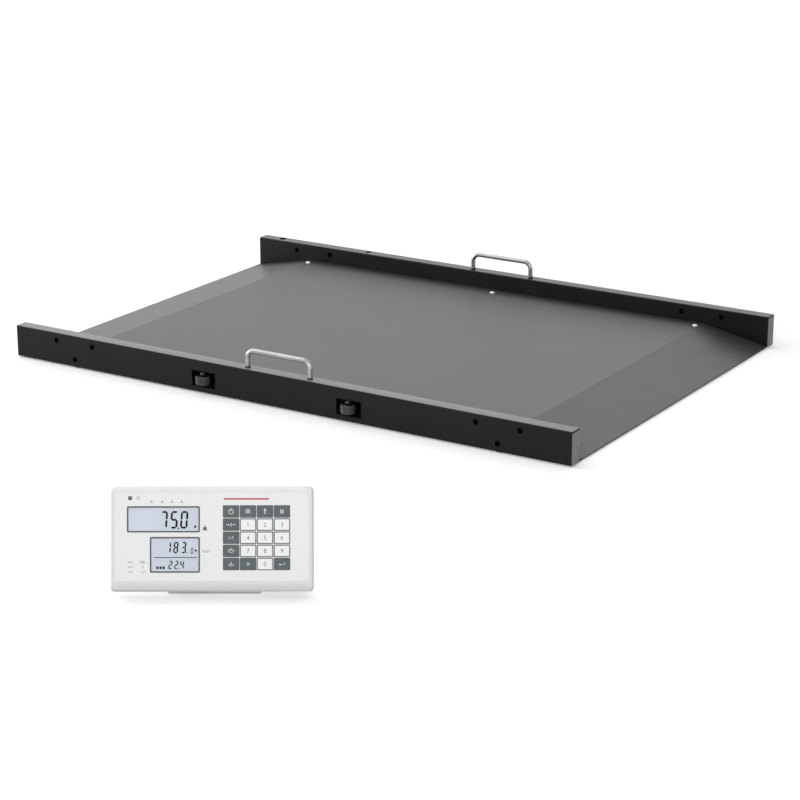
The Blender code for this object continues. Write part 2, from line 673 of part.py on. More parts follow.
def make_handle(name, side, platform):
    """Bent rod with a threaded bore in the foot of each leg."""
    rod = curve_solid("rod", [[(x, 0, z) for x, z in handle_route()]], HANDLE_ROD_RADIUS, ROD_FACETS)
    graph = bpy.context.evaluated_depsgraph_get()
    mesh = bpy.data.meshes.new_from_object(rod.evaluated_get(graph))
    bm = bmesh.new()
    bm.from_mesh(mesh)
    bpy.data.meshes.remove(mesh)
    bpy.data.objects.remove(rod)
    bmesh.ops.remove_doubles(bm, verts=bm.verts, dist=WELD)
    bores = bmesh.new()
    for end, _ in ENDS:
        add_rod(bores, (end * HANDLE_PITCH / 2, 0, -OVERRUN), HANDLE_BORE_DEPTH + OVERRUN,
                HANDLE_BORE_RADIUS, "Z", SMALL_SIDES)
    node(name, cut(bm, bores), BARE_STEEL, platform, (0, side * RAIL_CENTRE, RAIL_TOP))


def make_wheel(name, end, platform):
    """Transport roller, turning on an upright axle."""
    half = WHEEL_WIDTH / 2
    profile = (
        (AXLE_RADIUS + GAP, -half), (WHEEL_RADIUS - WHEEL_EDGE, -half), (WHEEL_RADIUS, -half + WHEEL_EDGE),
        (WHEEL_RADIUS, half - WHEEL_EDGE), (WHEEL_RADIUS - WHEEL_EDGE, half), (AXLE_RADIUS + GAP, half),
        (AXLE_RADIUS + GAP, -half),
    )
    bm = bmesh.new()
    add_turned(bm, profile, Matrix.Identity(4), WHEEL_SIDES)
    node(name, bm, GREY_RUBBER, platform, (end * WHEEL_OFFSET, WHEEL_Y, WHEEL_Z))


def make_wheel_fork(name, end, platform):
    """Fork inside the near rail that holds one wheel's axle."""
    reach = WHEEL_WIDTH / 2 + WHEEL_SIDE_GAP
    back = WHEEL_REACH + RAIL_WALL + 2 * BORE_HALF - GAP
    nose = -FORK_NOSE
    outline = [
        (back, -reach - FORK_PLATE), (back, reach + FORK_PLATE), (nose, reach + FORK_PLATE), (nose, reach),
        (back - FORK_PLATE, reach), (back - FORK_PLATE, -reach), (nose, -reach), (nose, -reach - FORK_PLATE),
    ]
    bm = bmesh.new()
    add_prism(bm, outline, "X", -FORK_WIDTH / 2, FORK_WIDTH)
    corners = [edge for edge in bm.edges if all(vert.co.y < nose + GAP for vert in edge.verts)
               and edge.verts[0].co.x == edge.verts[1].co.x]
    bmesh.ops.bevel(bm, geom=corners, offset=FORK_CORNER, segments=RAIL_STEPS, affect="EDGES", profile=0.5)
    bore = bmesh.new()
    add_rod(bore, (0, 0, -WHEEL_WIDTH), 2 * WHEEL_WIDTH, AXLE_RADIUS + GAP, "Z")
    node(name, cut(bm, bore), BLACK_PAINT, platform, (end * WHEEL_OFFSET, WHEEL_Y, WHEEL_Z), smooth=False)


def make_wheel_axle(name, end, platform):
    """Pin on which one wheel turns."""
    reach = WHEEL_WIDTH / 2 + WHEEL_SIDE_GAP + FORK_PLATE + AXLE_END
    bm = bmesh.new()
    add_rod(bm, (0, 0, -reach), 2 * reach, AXLE_RADIUS, "Z")
    node(name, bm, BARE_STEEL, platform, (end * WHEEL_OFFSET, WHEEL_Y, WHEEL_Z))


def box_far_side():
    """Far side of the junction box."""
    return INNER_FACE - GAP - LEDGE_REACH - BOX_LEDGE_GAP


def make_junction_box(platform):
    """Shallow box under the deck where the load cell cables meet. The deck closes its top."""
    top = DECK_UNDERSIDE - GAP
    far = box_far_side()
    bm = bmesh.new()
    add_box(bm, (-BOX_LENGTH / 2, far - BOX_WIDTH, top - BOX_HEIGHT), (BOX_LENGTH / 2, far, top))
    bore = bmesh.new()
    add_box(bore, (-BOX_LENGTH / 2 + BOX_WALL, far - BOX_WIDTH + BOX_WALL, top - BOX_HEIGHT + BOX_WALL),
            (BOX_LENGTH / 2 - BOX_WALL, far - BOX_WALL, top + OVERRUN))
    node("junction_box", cut(bm, bore), BLACK_PLASTIC, platform, smooth=False)


def socket_profile():
    """Round socket on a wall at height zero, open upwards, with its tail through the wall."""
    flange = GAP + SOCKET_FLANGE_HEIGHT
    well = SOCKET_BARREL_REACH - SOCKET_WELL_DEPTH
    return (
        (0, -SOCKET_TAIL_LENGTH), (SOCKET_TAIL_RADIUS, -SOCKET_TAIL_LENGTH), (SOCKET_TAIL_RADIUS, GAP),
        (SOCKET_FLANGE_RADIUS, GAP), (SOCKET_FLANGE_RADIUS, flange), (SOCKET_BARREL_RADIUS, flange),
        (SOCKET_BARREL_RADIUS, SOCKET_BARREL_REACH), (SOCKET_WELL_RADIUS, SOCKET_BARREL_REACH),
        (SOCKET_WELL_RADIUS, well), (0, well),
    )


def make_signal_socket(platform):
    """Socket in the far rail's outer face for the indicator's cable."""
    bm = bmesh.new()
    add_turned(bm, socket_profile(), ALONG["Y"])
    node("signal_socket", bm, BLACK_PLASTIC, platform, (0, RAIL_SPAN / 2, FLOOR_CLEARANCE + SOCKET_RISE))


def case_outline(side_inset, top_inset, chin_inset):
    """Outline of the indicator's housing, drawn in from its edges."""
    half = CASE_WIDTH / 2 - side_inset
    return rounded_outline(-half, half, FACE_RISE - CASE_HEIGHT / 2 + chin_inset,
                           FACE_RISE + CASE_HEIGHT / 2 - top_inset, CASE_LOW_CORNER, CASE_TOP_CORNER,
                           CASE_STEPS)


def at_depth(depth):
    """Place along Y of a depth behind the indicator's front face, from the pivot."""
    return depth - FACE_AHEAD


def cut_face_box(bm, left, right, low, high, from_depth, to_depth):
    """Add a box that cuts the indicator's face, with heights from the middle of the face."""
    add_box(bm, (left, at_depth(from_depth), FACE_RISE + low), (right, at_depth(to_depth), FACE_RISE + high))


def key_places():
    """Each key's name with the place of its middle on the face."""
    places = []
    for row, names in enumerate(KEY_ROWS):
        for column, name in enumerate(names):
            places.append((name, KEY_LEFT + column * KEY_PITCH_X, KEY_TOP - row * KEY_PITCH_Z))
    return places


def face_openings(from_depth, to_depth):
    """Cutters for the display windows, the keys and the power light."""
    tool = bmesh.new()
    for left, right, low, high in ((WEIGHT_LEFT, WEIGHT_RIGHT, WEIGHT_LOW, WEIGHT_HIGH),
                                   (HEIGHT_LEFT, HEIGHT_RIGHT, HEIGHT_LOW, HEIGHT_HIGH)):
        cut_face_box(tool, left, right, low, high, from_depth, to_depth)
    across = KEY_WIDTH / 2 + KEY_CLEARANCE
    up = KEY_HEIGHT / 2 + KEY_CLEARANCE
    for _, x, z in key_places():
        cut_face_box(tool, x - across, x + across, z - up, z + up, from_depth, to_depth)
    add_rod(tool, (LIGHT_X, at_depth(from_depth), FACE_RISE + LIGHT_Z), to_depth - from_depth,
            LIGHT_RADIUS + GAP, "Y", SMALL_SIDES)
    return tool


def post_places():
    """Centres of the four posts of the housing."""
    return [(x, FACE_RISE + z) for x in (-POST_X, POST_X) for z in (-POST_Z, POST_Z)]


def make_front_housing(head):
    """Front shell of the indicator, with its label pocket, openings and posts."""
    bm = bmesh.new()
    add_loft(bm, (
        (case_outline(RIM_SIDE_INSET, RIM_TOP_INSET, RIM_CHIN_INSET), at_depth(0)),
        (case_outline(BROW_SIDE_INSET, BROW_SIDE_INSET, BROW_CHIN_INSET), at_depth(BROW_DEPTH)),
        (case_outline(0, 0, 0), at_depth(SHOULDER_DEPTH)),
        (case_outline(0, 0, 0), at_depth(FRONT_DEPTH)),
    ), "Y")
    inner_depth = LABEL_POCKET + CASE_WALL
    cavity = bmesh.new()
    add_prism(cavity, case_outline(CASE_WALL, CASE_WALL, CAVITY_CHIN_INSET), "Y", at_depth(inner_depth),
              FRONT_DEPTH - inner_depth + OVERRUN)
    bm = cut(bm, cavity)
    pocket = bmesh.new()
    outline = rounded_outline(LABEL_LEFT, LABEL_RIGHT, FACE_RISE + LABEL_LOW, FACE_RISE + LABEL_HIGH,
                              LABEL_CORNER, LABEL_CORNER)
    add_prism(pocket, outline, "Y", at_depth(-OVERRUN), LABEL_POCKET + OVERRUN)
    bm = cut(bm, pocket)
    bm = cut(bm, face_openings(-OVERRUN, inner_depth + OVERRUN))
    start = inner_depth - CASE_WALL / 2
    shoulders = bmesh.new()
    posts = bmesh.new()
    bores = bmesh.new()
    for x, z in post_places():
        add_rod(shoulders, (x, at_depth(start), z), BOARD_DEPTH - GAP - start,
                POST_SHOULDER_RADIUS, "Y", SMALL_SIDES)
        add_rod(posts, (x, at_depth(start), z), FRONT_DEPTH - start, POST_RADIUS, "Y", SMALL_SIDES)
        add_rod(bores, (x, at_depth(BOARD_DEPTH), z), FRONT_DEPTH, CASE_BORE_RADIUS, "Y", SMALL_SIDES)
    bm = cut(joined(joined(bm, shoulders), posts), bores)
    node("front_housing", bm, WHITE_PLASTIC, head)


def make_rear_housing(head):
    """Rear shell of the indicator, with the battery well, the lugs and the screw holes."""
    start = FRONT_DEPTH + GAP
    bm = bmesh.new()
    add_loft(bm, (
        (case_outline(0, 0, 0), at_depth(start)),
        (case_outline(REAR_BEND_INSET, REAR_BEND_INSET, REAR_BEND_INSET), at_depth(REAR_BEND_DEPTH)),
        (case_outline(REAR_INSET, REAR_INSET, REAR_CHIN_INSET), at_depth(REAR_DEPTH)),
    ), "Y")
    floor_depth = REAR_DEPTH - CASE_WALL
    inset = REAR_INSET + CASE_WALL
    cavity = bmesh.new()
    add_loft(cavity, (
        (case_outline(CASE_WALL, CASE_WALL, CASE_WALL), at_depth(start - OVERRUN)),
        (case_outline(CASE_WALL + REAR_BEND_INSET, CASE_WALL + REAR_BEND_INSET, CASE_WALL + REAR_BEND_INSET),
         at_depth(REAR_BEND_DEPTH - CASE_WALL)),
        (case_outline(inset, inset, REAR_CHIN_INSET + CASE_WALL), at_depth(floor_depth)),
    ), "Y")
    bm = cut(bm, cavity)
    added = bmesh.new()
    wide = WELL_WIDTH / 2 + WELL_WALL
    tall = WELL_HEIGHT / 2 + WELL_WALL
    cut_face_box(added, -wide, wide, WELL_Z - tall, WELL_Z + tall, WELL_DEPTH, floor_depth + CASE_WALL / 2)
    back = at_depth(REAR_DEPTH)
    for way in (-1, 1):
        outline = [(back - CASE_WALL / 2, -LUG_RADIUS)]
        outline += [(LUG_RADIUS * math.cos(angle), LUG_RADIUS * math.sin(angle)) for angle in half_turn()]
        outline += [(back - CASE_WALL / 2, LUG_RADIUS)]
        add_prism(added, outline, "X", way * LUG_X - LUG_WIDTH / 2, LUG_WIDTH)
    bm = joined(bm, added)
    holes = bmesh.new()
    half_w = WELL_WIDTH / 2
    half_h = WELL_HEIGHT / 2
    cut_face_box(holes, -half_w, half_w, WELL_Z - half_h, WELL_Z + half_h,
                 WELL_DEPTH - OVERRUN, REAR_DEPTH + OVERRUN)
    for way in (-1, 1):
        add_rod(holes, (way * LUG_X - LUG_WIDTH, 0, 0), 2 * LUG_WIDTH, KNOB_SHANK_RADIUS + GAP, "X")
    for x, z in post_places():
        add_rod(holes, (x, at_depth(start), z), REAR_DEPTH, CASE_BORE_RADIUS, "Y", SMALL_SIDES)
    add_rod(holes, (CASE_SOCKET_X, at_depth(start), FACE_RISE + CASE_SOCKET_Z), REAR_DEPTH,
            SOCKET_TAIL_RADIUS + GAP, "Y")
    bm = cut(bm, holes)
    sinks = bmesh.new()
    cut_face_box(sinks, -half_w - COVER_FLANGE - GAP, half_w + COVER_FLANGE + GAP,
                 WELL_Z - half_h - COVER_FLANGE - GAP, WELL_Z + half_h + COVER_FLANGE + GAP,
                 REAR_DEPTH - COVER_THICKNESS, REAR_DEPTH + OVERRUN)
    bm = cut(bm, sinks)
    node("rear_housing", bm, WHITE_PLASTIC, head)


def half_turn():
    """Angles of a half circle from straight down to straight up."""
    return [-math.pi / 2 + math.pi * step / (2 * ARC_STEPS) for step in range(2 * ARC_STEPS + 1)]


def make_label(head):
    """Printed front plate, with openings for the displays, the keys and the power light."""
    bm = bmesh.new()
    outline = rounded_outline(LABEL_LEFT + GAP, LABEL_RIGHT - GAP, FACE_RISE + LABEL_LOW + GAP,
                              FACE_RISE + LABEL_HIGH - GAP, LABEL_CORNER, LABEL_CORNER)
    back = LABEL_POCKET - GAP
    add_prism(bm, outline, "Y", at_depth(back - LABEL_THICKNESS), LABEL_THICKNESS)
    node("front_label", cut(bm, face_openings(-OVERRUN, back + OVERRUN)), WHITE_PLASTIC, head, smooth=False)


def make_display(name, left, right, low, high, head):
    """Liquid crystal display in its bezel, standing on the main board."""
    bm = bmesh.new()
    add_prism(bm, box_outline(left + GAP, right - GAP, FACE_RISE + low + GAP, FACE_RISE + high - GAP), "Y",
              at_depth(0), BOARD_DEPTH - GAP)
    recess = bmesh.new()
    outline = rounded_outline(left + BEZEL_WIDTH, right - BEZEL_WIDTH, FACE_RISE + low + BEZEL_WIDTH,
                              FACE_RISE + high - BEZEL_WIDTH, BEZEL_CORNER, BEZEL_CORNER)
    add_prism(recess, outline, "Y", at_depth(-OVERRUN), BEZEL_DEPTH + OVERRUN)
    node(name, cut(bm, recess), DISPLAY_GLASS, head, smooth=False)


def make_key(name, x, z, head):
    """Key of the keypad, with its origin at the middle of its top."""
    bm = bmesh.new()
    outline = rounded_outline(-KEY_WIDTH / 2, KEY_WIDTH / 2, -KEY_HEIGHT / 2, KEY_HEIGHT / 2,
                              KEY_CORNER, KEY_CORNER, 1)
    add_prism(bm, outline, "Y", 0, KEY_DEPTH)
    finish = DARK_KEY if name in DARK_KEYS else WHITE_PLASTIC
    node(name, bm, finish, head, (x, at_depth(-KEY_PROUD), FACE_RISE + z), smooth=False)


def make_main_board(head):
    """Circuit board with a switch behind each key and the power light."""
    bm = bmesh.new()
    cut_face_box(bm, -BOARD_WIDTH / 2, BOARD_WIDTH / 2, -BOARD_HEIGHT / 2, BOARD_HEIGHT / 2,
                 BOARD_DEPTH, BOARD_DEPTH + BOARD_THICKNESS)
    added = bmesh.new()
    half = SWITCH_SIDE / 2
    inside = BOARD_DEPTH + BOARD_THICKNESS / 2
    for _, x, z in key_places():
        cut_face_box(added, x - half, x + half, z - half, z + half, SWITCH_TOP_DEPTH, inside)
    add_rod(added, (LIGHT_X, at_depth(0), FACE_RISE + LIGHT_Z), inside, LIGHT_RADIUS, "Y", SMALL_SIDES)
    holes = bmesh.new()
    for x, z in post_places():
        add_rod(holes, (x, at_depth(0), z), 2 * BOARD_DEPTH, POST_RADIUS + GAP, "Y", SMALL_SIDES)
    node("main_board", cut(joined(bm, added), holes), BOARD_GREEN, head, smooth=False)


def make_battery_pack(head):
    """Rechargeable pack in the well behind the cover."""
    back = REAR_DEPTH - COVER_THICKNESS - COVER_RIM - GAP
    bm = bmesh.new()
    cut_face_box(bm, -WELL_WIDTH / 2 + GAP, WELL_WIDTH / 2 - GAP, WELL_Z - WELL_HEIGHT / 2 + GAP,
                 WELL_Z + WELL_HEIGHT / 2 - GAP, back - PACK_THICKNESS, back)
    node("battery_pack", bm, PACK_BLUE, head, smooth=False)


def make_battery_cover(head):
    """Cover of the battery well, with a rim that enters the well."""
    half_w = WELL_WIDTH / 2
    half_h = WELL_HEIGHT / 2
    seat = REAR_DEPTH - COVER_THICKNESS + GAP
    bm = bmesh.new()
    cut_face_box(bm, -half_w - COVER_FLANGE, half_w + COVER_FLANGE,
                 -half_h - COVER_FLANGE, half_h + COVER_FLANGE, seat, REAR_DEPTH)
    rim = bmesh.new()
    cut_face_box(rim, -half_w + GAP, half_w - GAP, -half_h + GAP, half_h - GAP,
                 REAR_DEPTH - COVER_THICKNESS - COVER_RIM, seat + COVER_THICKNESS / 2)
    node("battery_cover", joined(bm, rim), WHITE_PLASTIC, head, (0, 0, WELL_Z), smooth=False)


def make_case_socket(head):
    """Socket in the back of the indicator for the platform's cable."""
    bm = bmesh.new()
    add_turned(bm, socket_profile(), ALONG["Y"])
    node("display_socket", bm, BLACK_PLASTIC, head,
         (CASE_SOCKET_X, at_depth(REAR_DEPTH), FACE_RISE + CASE_SOCKET_Z))


def make_stand(stand):
    """Bent bracket: a base on the floor and two ears that hold the housing's lugs."""
    inner = LUG_X + LUG_WIDTH / 2 + GAP
    outer = inner + EAR_THICKNESS
    bm = bmesh.new()
    add_box(bm, (-outer, -STAND_AHEAD, 0), (outer, STAND_BEHIND, EAR_THICKNESS))
    ears = bmesh.new()
    base_mid = EAR_THICKNESS / 2
    for start in (-outer, inner):
        outline = [(-EAR_RADIUS, base_mid), (EAR_RADIUS, base_mid)]
        outline += [(EAR_RADIUS * math.cos(angle), PIVOT_HEIGHT + EAR_RADIUS * math.sin(angle))
                    for angle in (step * math.pi / (2 * ARC_STEPS) for step in range(2 * ARC_STEPS + 1))]
        add_prism(ears, outline, "X", start, EAR_THICKNESS)
    bm = joined(bm, ears)
    holes = bmesh.new()
    for start in (-outer - OVERRUN, inner - OVERRUN):
        add_rod(holes, (start, 0, PIVOT_HEIGHT), EAR_THICKNESS + 2 * OVERRUN, KNOB_SHANK_RADIUS + GAP, "X")
    for way in (-1, 1):
        add_rod(holes, (way * STAND_HOLE_PITCH / 2, STAND_HOLE_SETBACK, -OVERRUN),
                EAR_THICKNESS + 2 * OVERRUN, STAND_HOLE_RADIUS, "Z", SMALL_SIDES)
    node("stand_bracket", cut(bm, holes), BLACK_PAINT, stand)


def make_knob(name, way, head):
    """Clamp knob on a threaded shank, with its origin on the pivot's axis."""
    start = LUG_X + LUG_WIDTH / 2 + GAP + EAR_THICKNESS + GAP
    profile = (
        (0, start - KNOB_SHANK_LENGTH), (KNOB_SHANK_RADIUS, start - KNOB_SHANK_LENGTH),
        (KNOB_SHANK_RADIUS, start), (KNOB_RADIUS - KNOB_EDGE, start), (KNOB_RADIUS, start + KNOB_EDGE),
        (KNOB_RADIUS, start + KNOB_WIDTH - KNOB_EDGE), (KNOB_RADIUS - KNOB_EDGE, start + KNOB_WIDTH),
        (0, start + KNOB_WIDTH),
    )
    bm = bmesh.new()
    add_turned(bm, profile, Matrix.Rotation(way * math.pi / 2, 4, "Y"))
    node(name, bm, BLACK_PLASTIC, head)


def make_platform(platform):
    """All pieces of the platform."""
    make_near_rail(platform)
    make_far_rail(platform)
    make_deck(platform)
    make_deck_frame(platform)
    for number, (x, y) in enumerate(deck_screw_places(), start=1):
        make_deck_screw(f"deck_screw_{number}", x, y, platform)
    for side, side_name in SIDES:
        for end, end_name in ENDS:
            make_load_cell(f"load_cell_{side_name}_{end_name}", side, end, platform)
            make_foot(f"foot_{side_name}_{end_name}", side, end, platform)
        make_handle(f"{side_name}_handle", side, platform)
    for end, end_name in ENDS:
        make_wheel(f"{end_name}_wheel", end, platform)
        make_wheel_fork(f"{end_name}_wheel_fork", end, platform)
        make_wheel_axle(f"{end_name}_wheel_axle", end, platform)
    make_junction_box(platform)
    make_signal_socket(platform)


def make_indicator(stand, head):
    """All pieces of the indicator and its stand."""
    make_front_housing(head)
    make_rear_housing(head)
    make_label(head)
    make_display("weight_display", WEIGHT_LEFT, WEIGHT_RIGHT, WEIGHT_LOW, WEIGHT_HIGH, head)
    make_display("height_display", HEIGHT_LEFT, HEIGHT_RIGHT, HEIGHT_LOW, HEIGHT_HIGH, head)
    for name, x, z in key_places():
        make_key(name, x, z, head)
    make_main_board(head)
    make_battery_pack(head)
    make_battery_cover(head)
    make_case_socket(head)
    make_stand(stand)
    for end, end_name in ENDS:
        make_knob(f"{end_name}_knob", end, head)


def centre_on_floor(whole):
    """Move the whole set so that the middle of its footprint is at the origin."""
    bpy.context.view_layer.update()
    graph = bpy.context.evaluated_depsgraph_get()
    low = Vector((math.inf, math.inf, math.inf))
    high = -low
    for obj in bpy.data.objects:
        if obj.type == "EMPTY":
            continue
        for corner in obj.evaluated_get(graph).to_mesh().vertices:
            place = obj.matrix_world @ corner.co
            low = Vector(map(min, low, place))
            high = Vector(map(max, high, place))
    whole.location = (-(low.x + high.x) / 2, -(low.y + high.y) / 2, 0)


def main():
    for obj in list(bpy.data.objects):
        bpy.data.objects.remove(obj, do_unlink=True)
    whole = frame("scale_set")
    platform = frame("platform_frame", whole)
    stand = frame("stand_frame", whole, (STAND_X, STAND_Y, 0), (0, 0, STAND_TURN))
    head = frame("display_pivot", stand, (0, 0, PIVOT_HEIGHT), (-LEAN, 0, 0))
    make_platform(platform)
    make_indicator(stand, head)
    centre_on_floor(whole)


main()
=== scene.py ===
"""Looks of a platform scale and its indicator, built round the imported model.

The rails, deck, wheels, feet and handles of the platform, and the housing, keys
and displays of the indicator, get their fine shapes and finishes here. Lengths
are in metres.
"""

import json
import logging
import math
from collections.abc import Iterable, Sequence
from dataclasses import dataclass, field
from enum import Enum

import bmesh
import bpy
from mathutils import Matrix, Vector


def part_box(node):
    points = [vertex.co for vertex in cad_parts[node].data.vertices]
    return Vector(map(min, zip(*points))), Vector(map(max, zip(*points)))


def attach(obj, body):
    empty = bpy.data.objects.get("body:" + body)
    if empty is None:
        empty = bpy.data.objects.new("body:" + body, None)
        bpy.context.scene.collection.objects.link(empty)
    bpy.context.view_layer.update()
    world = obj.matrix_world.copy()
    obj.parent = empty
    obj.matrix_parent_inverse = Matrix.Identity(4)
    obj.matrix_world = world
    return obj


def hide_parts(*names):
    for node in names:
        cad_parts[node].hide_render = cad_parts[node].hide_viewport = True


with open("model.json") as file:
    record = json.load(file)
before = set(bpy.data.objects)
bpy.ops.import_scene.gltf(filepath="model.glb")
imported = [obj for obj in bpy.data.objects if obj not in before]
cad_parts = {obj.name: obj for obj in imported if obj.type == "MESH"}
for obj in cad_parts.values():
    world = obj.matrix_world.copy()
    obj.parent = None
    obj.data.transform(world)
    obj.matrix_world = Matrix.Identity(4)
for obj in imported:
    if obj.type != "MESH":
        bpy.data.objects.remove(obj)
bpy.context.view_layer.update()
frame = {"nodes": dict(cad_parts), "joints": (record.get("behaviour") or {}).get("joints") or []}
LOG = logging.getLogger("scale")

Colour = tuple[float, float, float]
Point = tuple[float, float, float]
Spot = tuple[float, float]
Outline = Sequence[Spot]
Sides = tuple[float, float, float, float]
Output = bpy.types.NodeSocket
Mesh = bmesh.types.BMesh
Ring = Sequence[bmesh.types.BMEdge]

MILLI = 0.001
CLOSE = 0.000002
FLAT = math.radians(0.3)
SHARP = math.radians(38)
ROUNDED_ANGLE = math.radians(50)
FINE = 48
QUARTER = math.pi / 2


class Axis(Enum):
    """Direction that a turned shape points in, as the turn that brings +Z there."""

    RIGHT = Matrix.Rotation(QUARTER, 4, "Y")
    LEFT = Matrix.Rotation(-QUARTER, 4, "Y")
    NEAR = Matrix.Rotation(QUARTER, 4, "X")
    FAR = Matrix.Rotation(-QUARTER, 4, "X")

    def at(self, x: float, y: float, z: float) -> Matrix:
        """The matrix that brings a shape to a place, turned this way."""
        return Matrix.Translation((x, y, z)) @ self.value


class Graph:
    """Shader nodes of one material."""

    def __init__(self, name: str) -> None:
        """Start a material with its principled shader.

        Args:
            name: Name of the material.
        """
        self.material = bpy.data.materials.new(name)
        self.material.use_nodes = True
        self.tree = self.material.node_tree
        self.shader = self.tree.nodes["Principled BSDF"]
        self.place = self.tree.nodes.new("ShaderNodeTexCoord").outputs["Object"]

    def fill(self, socket: Output, value: object) -> None:
        """Link an input to an output, or set it to a value.

        Args:
            socket: The input.
            value: An output, a number, a vector or a colour.
        """
        if isinstance(value, Output):
            self.tree.links.new(value, socket)
        else:
            socket.default_value = (*value, 1.0) if socket.type == "RGBA" else value

    def set(self, **inputs: object) -> None:
        """Fill inputs of the shader, named with underscores for spaces."""
        for name, value in inputs.items():
            self.fill(self.shader.inputs[name.replace("_", " ")], value)

    def node(self, kind: str, **inputs: object) -> bpy.types.Node:
        """Add a node.

        Args:
            kind: Kind of node.
            **inputs: Its inputs, with underscores for spaces.

        Returns:
            The node.
        """
        made = self.tree.nodes.new(kind)
        for name, value in inputs.items():
            self.fill(made.inputs[name.replace("_", " ")], value)
        return made

    def noise(self, size: float, detail: float = 3.0, stretch: Point = (1.0, 1.0, 1.0)) -> Output:
        """Noise round 0.5 whose patches are about one size across.

        Args:
            size: Width of a patch.
            detail: Octaves of finer noise.
            stretch: Factor on each axis by which the pattern is squeezed.

        Returns:
            The noise.
        """
        mapped = self.node("ShaderNodeMapping", Vector=self.place, Scale=stretch)
        return self.node("ShaderNodeTexNoise", Vector=mapped.outputs[0], Scale=1.0 / size,
                         Detail=detail).outputs[0]

    def between(self, value: Output, low: float | Output, high: float,
                bottom: float = 0.0, top: float = 1.0) -> Output:
        """Map a value from one range to another with soft ends.

        Args:
            value: The value.
            low: Where the first range starts.
            high: Where it ends.
            bottom: Where the second range starts.
            top: Where it ends.

        Returns:
            The mapped value.
        """
        made = self.node("ShaderNodeMapRange", Value=value, From_Min=low, From_Max=high,
                         To_Min=bottom, To_Max=top)
        made.interpolation_type = "SMOOTHSTEP"
        return made.outputs[0]

    def mixed(self, amount: float | Output, first: Colour | Output,
              second: Colour | Output) -> Output:
        """Mix two colours.

        Args:
            amount: Amount of the second.
            first: The first.
            second: The second.

        Returns:
            The mixed colour.
        """
        made = self.tree.nodes.new("ShaderNodeMix")
        made.data_type = "RGBA"
        for index, value in ((0, amount), (6, first), (7, second)):
            self.fill(made.inputs[index], value)
        return made.outputs[2]

    def maths(self, operation: str, first: float | Output, second: float | Output = 0.0) -> Output:
        """Combine two values.

        Args:
            operation: Name of the operation.
            first: The first value.
            second: The second value.

        Returns:
            The result.
        """
        made = self.tree.nodes.new("ShaderNodeMath")
        made.operation = operation
        self.fill(made.inputs[0], first)
        self.fill(made.inputs[1], second)
        return made.outputs[0]

    def axes(self) -> Sequence[Output]:
        """The place's X, Y and Z."""
        return self.node("ShaderNodeSeparateXYZ", Vector=self.place).outputs

    def worn(self) -> Output:
        """Find where a piece is rubbed.

        Returns:
            One on the softened edges of a piece, and zero elsewhere.
        """
        made = self.tree.nodes.new("ShaderNodeAttribute")
        made.attribute_name = "edge"
        return made.outputs["Fac"]

    def bump(self, *heights: tuple[Output, float]) -> None:
        """Press patterns into the surface.

        Args:
            *heights: Each pattern and its depth, the coarsest first.
        """
        below: dict[str, Output] = {}
        for height, depth in heights:
            made = self.node("ShaderNodeBump", Height=height, Distance=depth, Strength=1.0, **below)
            below = {"Normal": made.outputs[0]}
        self.set(**below)


def grey(level: float) -> Colour:
    """A neutral colour."""
    return level, level, level


MADE: dict[str, bpy.types.Material] = {}


@dataclass(frozen=True)
class Finish:
    """Surface of coated metal or moulded plastic.

    Attributes:
        name: Name of the material.
        colour: Linear colour.
        roughness: Roughness of the shader.
        metallic: One for bare metal.
        gloss: Specular level of the shader.
        tint: How far the colour varies from patch to patch.
        patch: Width of a patch.
        grain: Width of the texture's grains.
        depth: Depth of the texture.
        edge: Colour of rubbed edges.
        rub: How much of an edge is rubbed.
    """

    name: str
    colour: Colour
    roughness: float
    metallic: float = 0.0
    gloss: float = 0.5
    tint: float = 0.12
    patch: float = 0.12
    grain: float = 0.0012
    depth: float = 0.00002
    edge: Colour = grey(0.10)
    rub: float = 0.35

    def shade(self, amount: float) -> Colour:
        """The colour, lighter or darker by a share."""
        return tuple(min(1.0, part * (1.0 + amount)) for part in self.colour)

    def base(self, graph: Graph) -> Output:
        """Lay patches and rubbed edges.

        Args:
            graph: Nodes of the material.

        Returns:
            The colour.
        """
        patches = graph.between(graph.noise(self.patch, 4.0), 0.3, 0.7)
        colour = graph.mixed(patches, self.shade(-self.tint), self.shade(self.tint))
        rubbed = graph.between(graph.noise(0.006, 4.0), 0.62 - self.rub / 3, 0.72)
        return graph.mixed(graph.maths("MULTIPLY", rubbed, graph.worn()), colour, self.edge)

    def sheen(self, graph: Graph) -> Output:
        """The roughness with its handling marks."""
        marks = graph.noise(0.03, 5.0, (1.0, 2.6, 1.0))
        return graph.between(marks, 0.25, 0.75, self.roughness * 0.9, self.roughness * 1.12)

    def press(self, graph: Graph) -> None:
        """Press a coarse and a fine grain into the surface."""
        graph.bump(*((graph.noise(self.grain * size, 2.0), self.depth) for size in (5, 1)))

    def draw(self, graph: Graph) -> None:
        """Lay the patterns of this finish."""
        graph.set(Base_Color=self.base(graph), Roughness=self.sheen(graph))
        self.press(graph)

    def material(self) -> bpy.types.Material:
        """Make the material once.

        Returns:
            The material.
        """
        if self.name not in MADE:
            graph = Graph(self.name)
            graph.set(Metallic=self.metallic, Specular_IOR_Level=self.gloss)
            self.draw(graph)
            MADE[self.name] = graph.material
        return MADE[self.name]


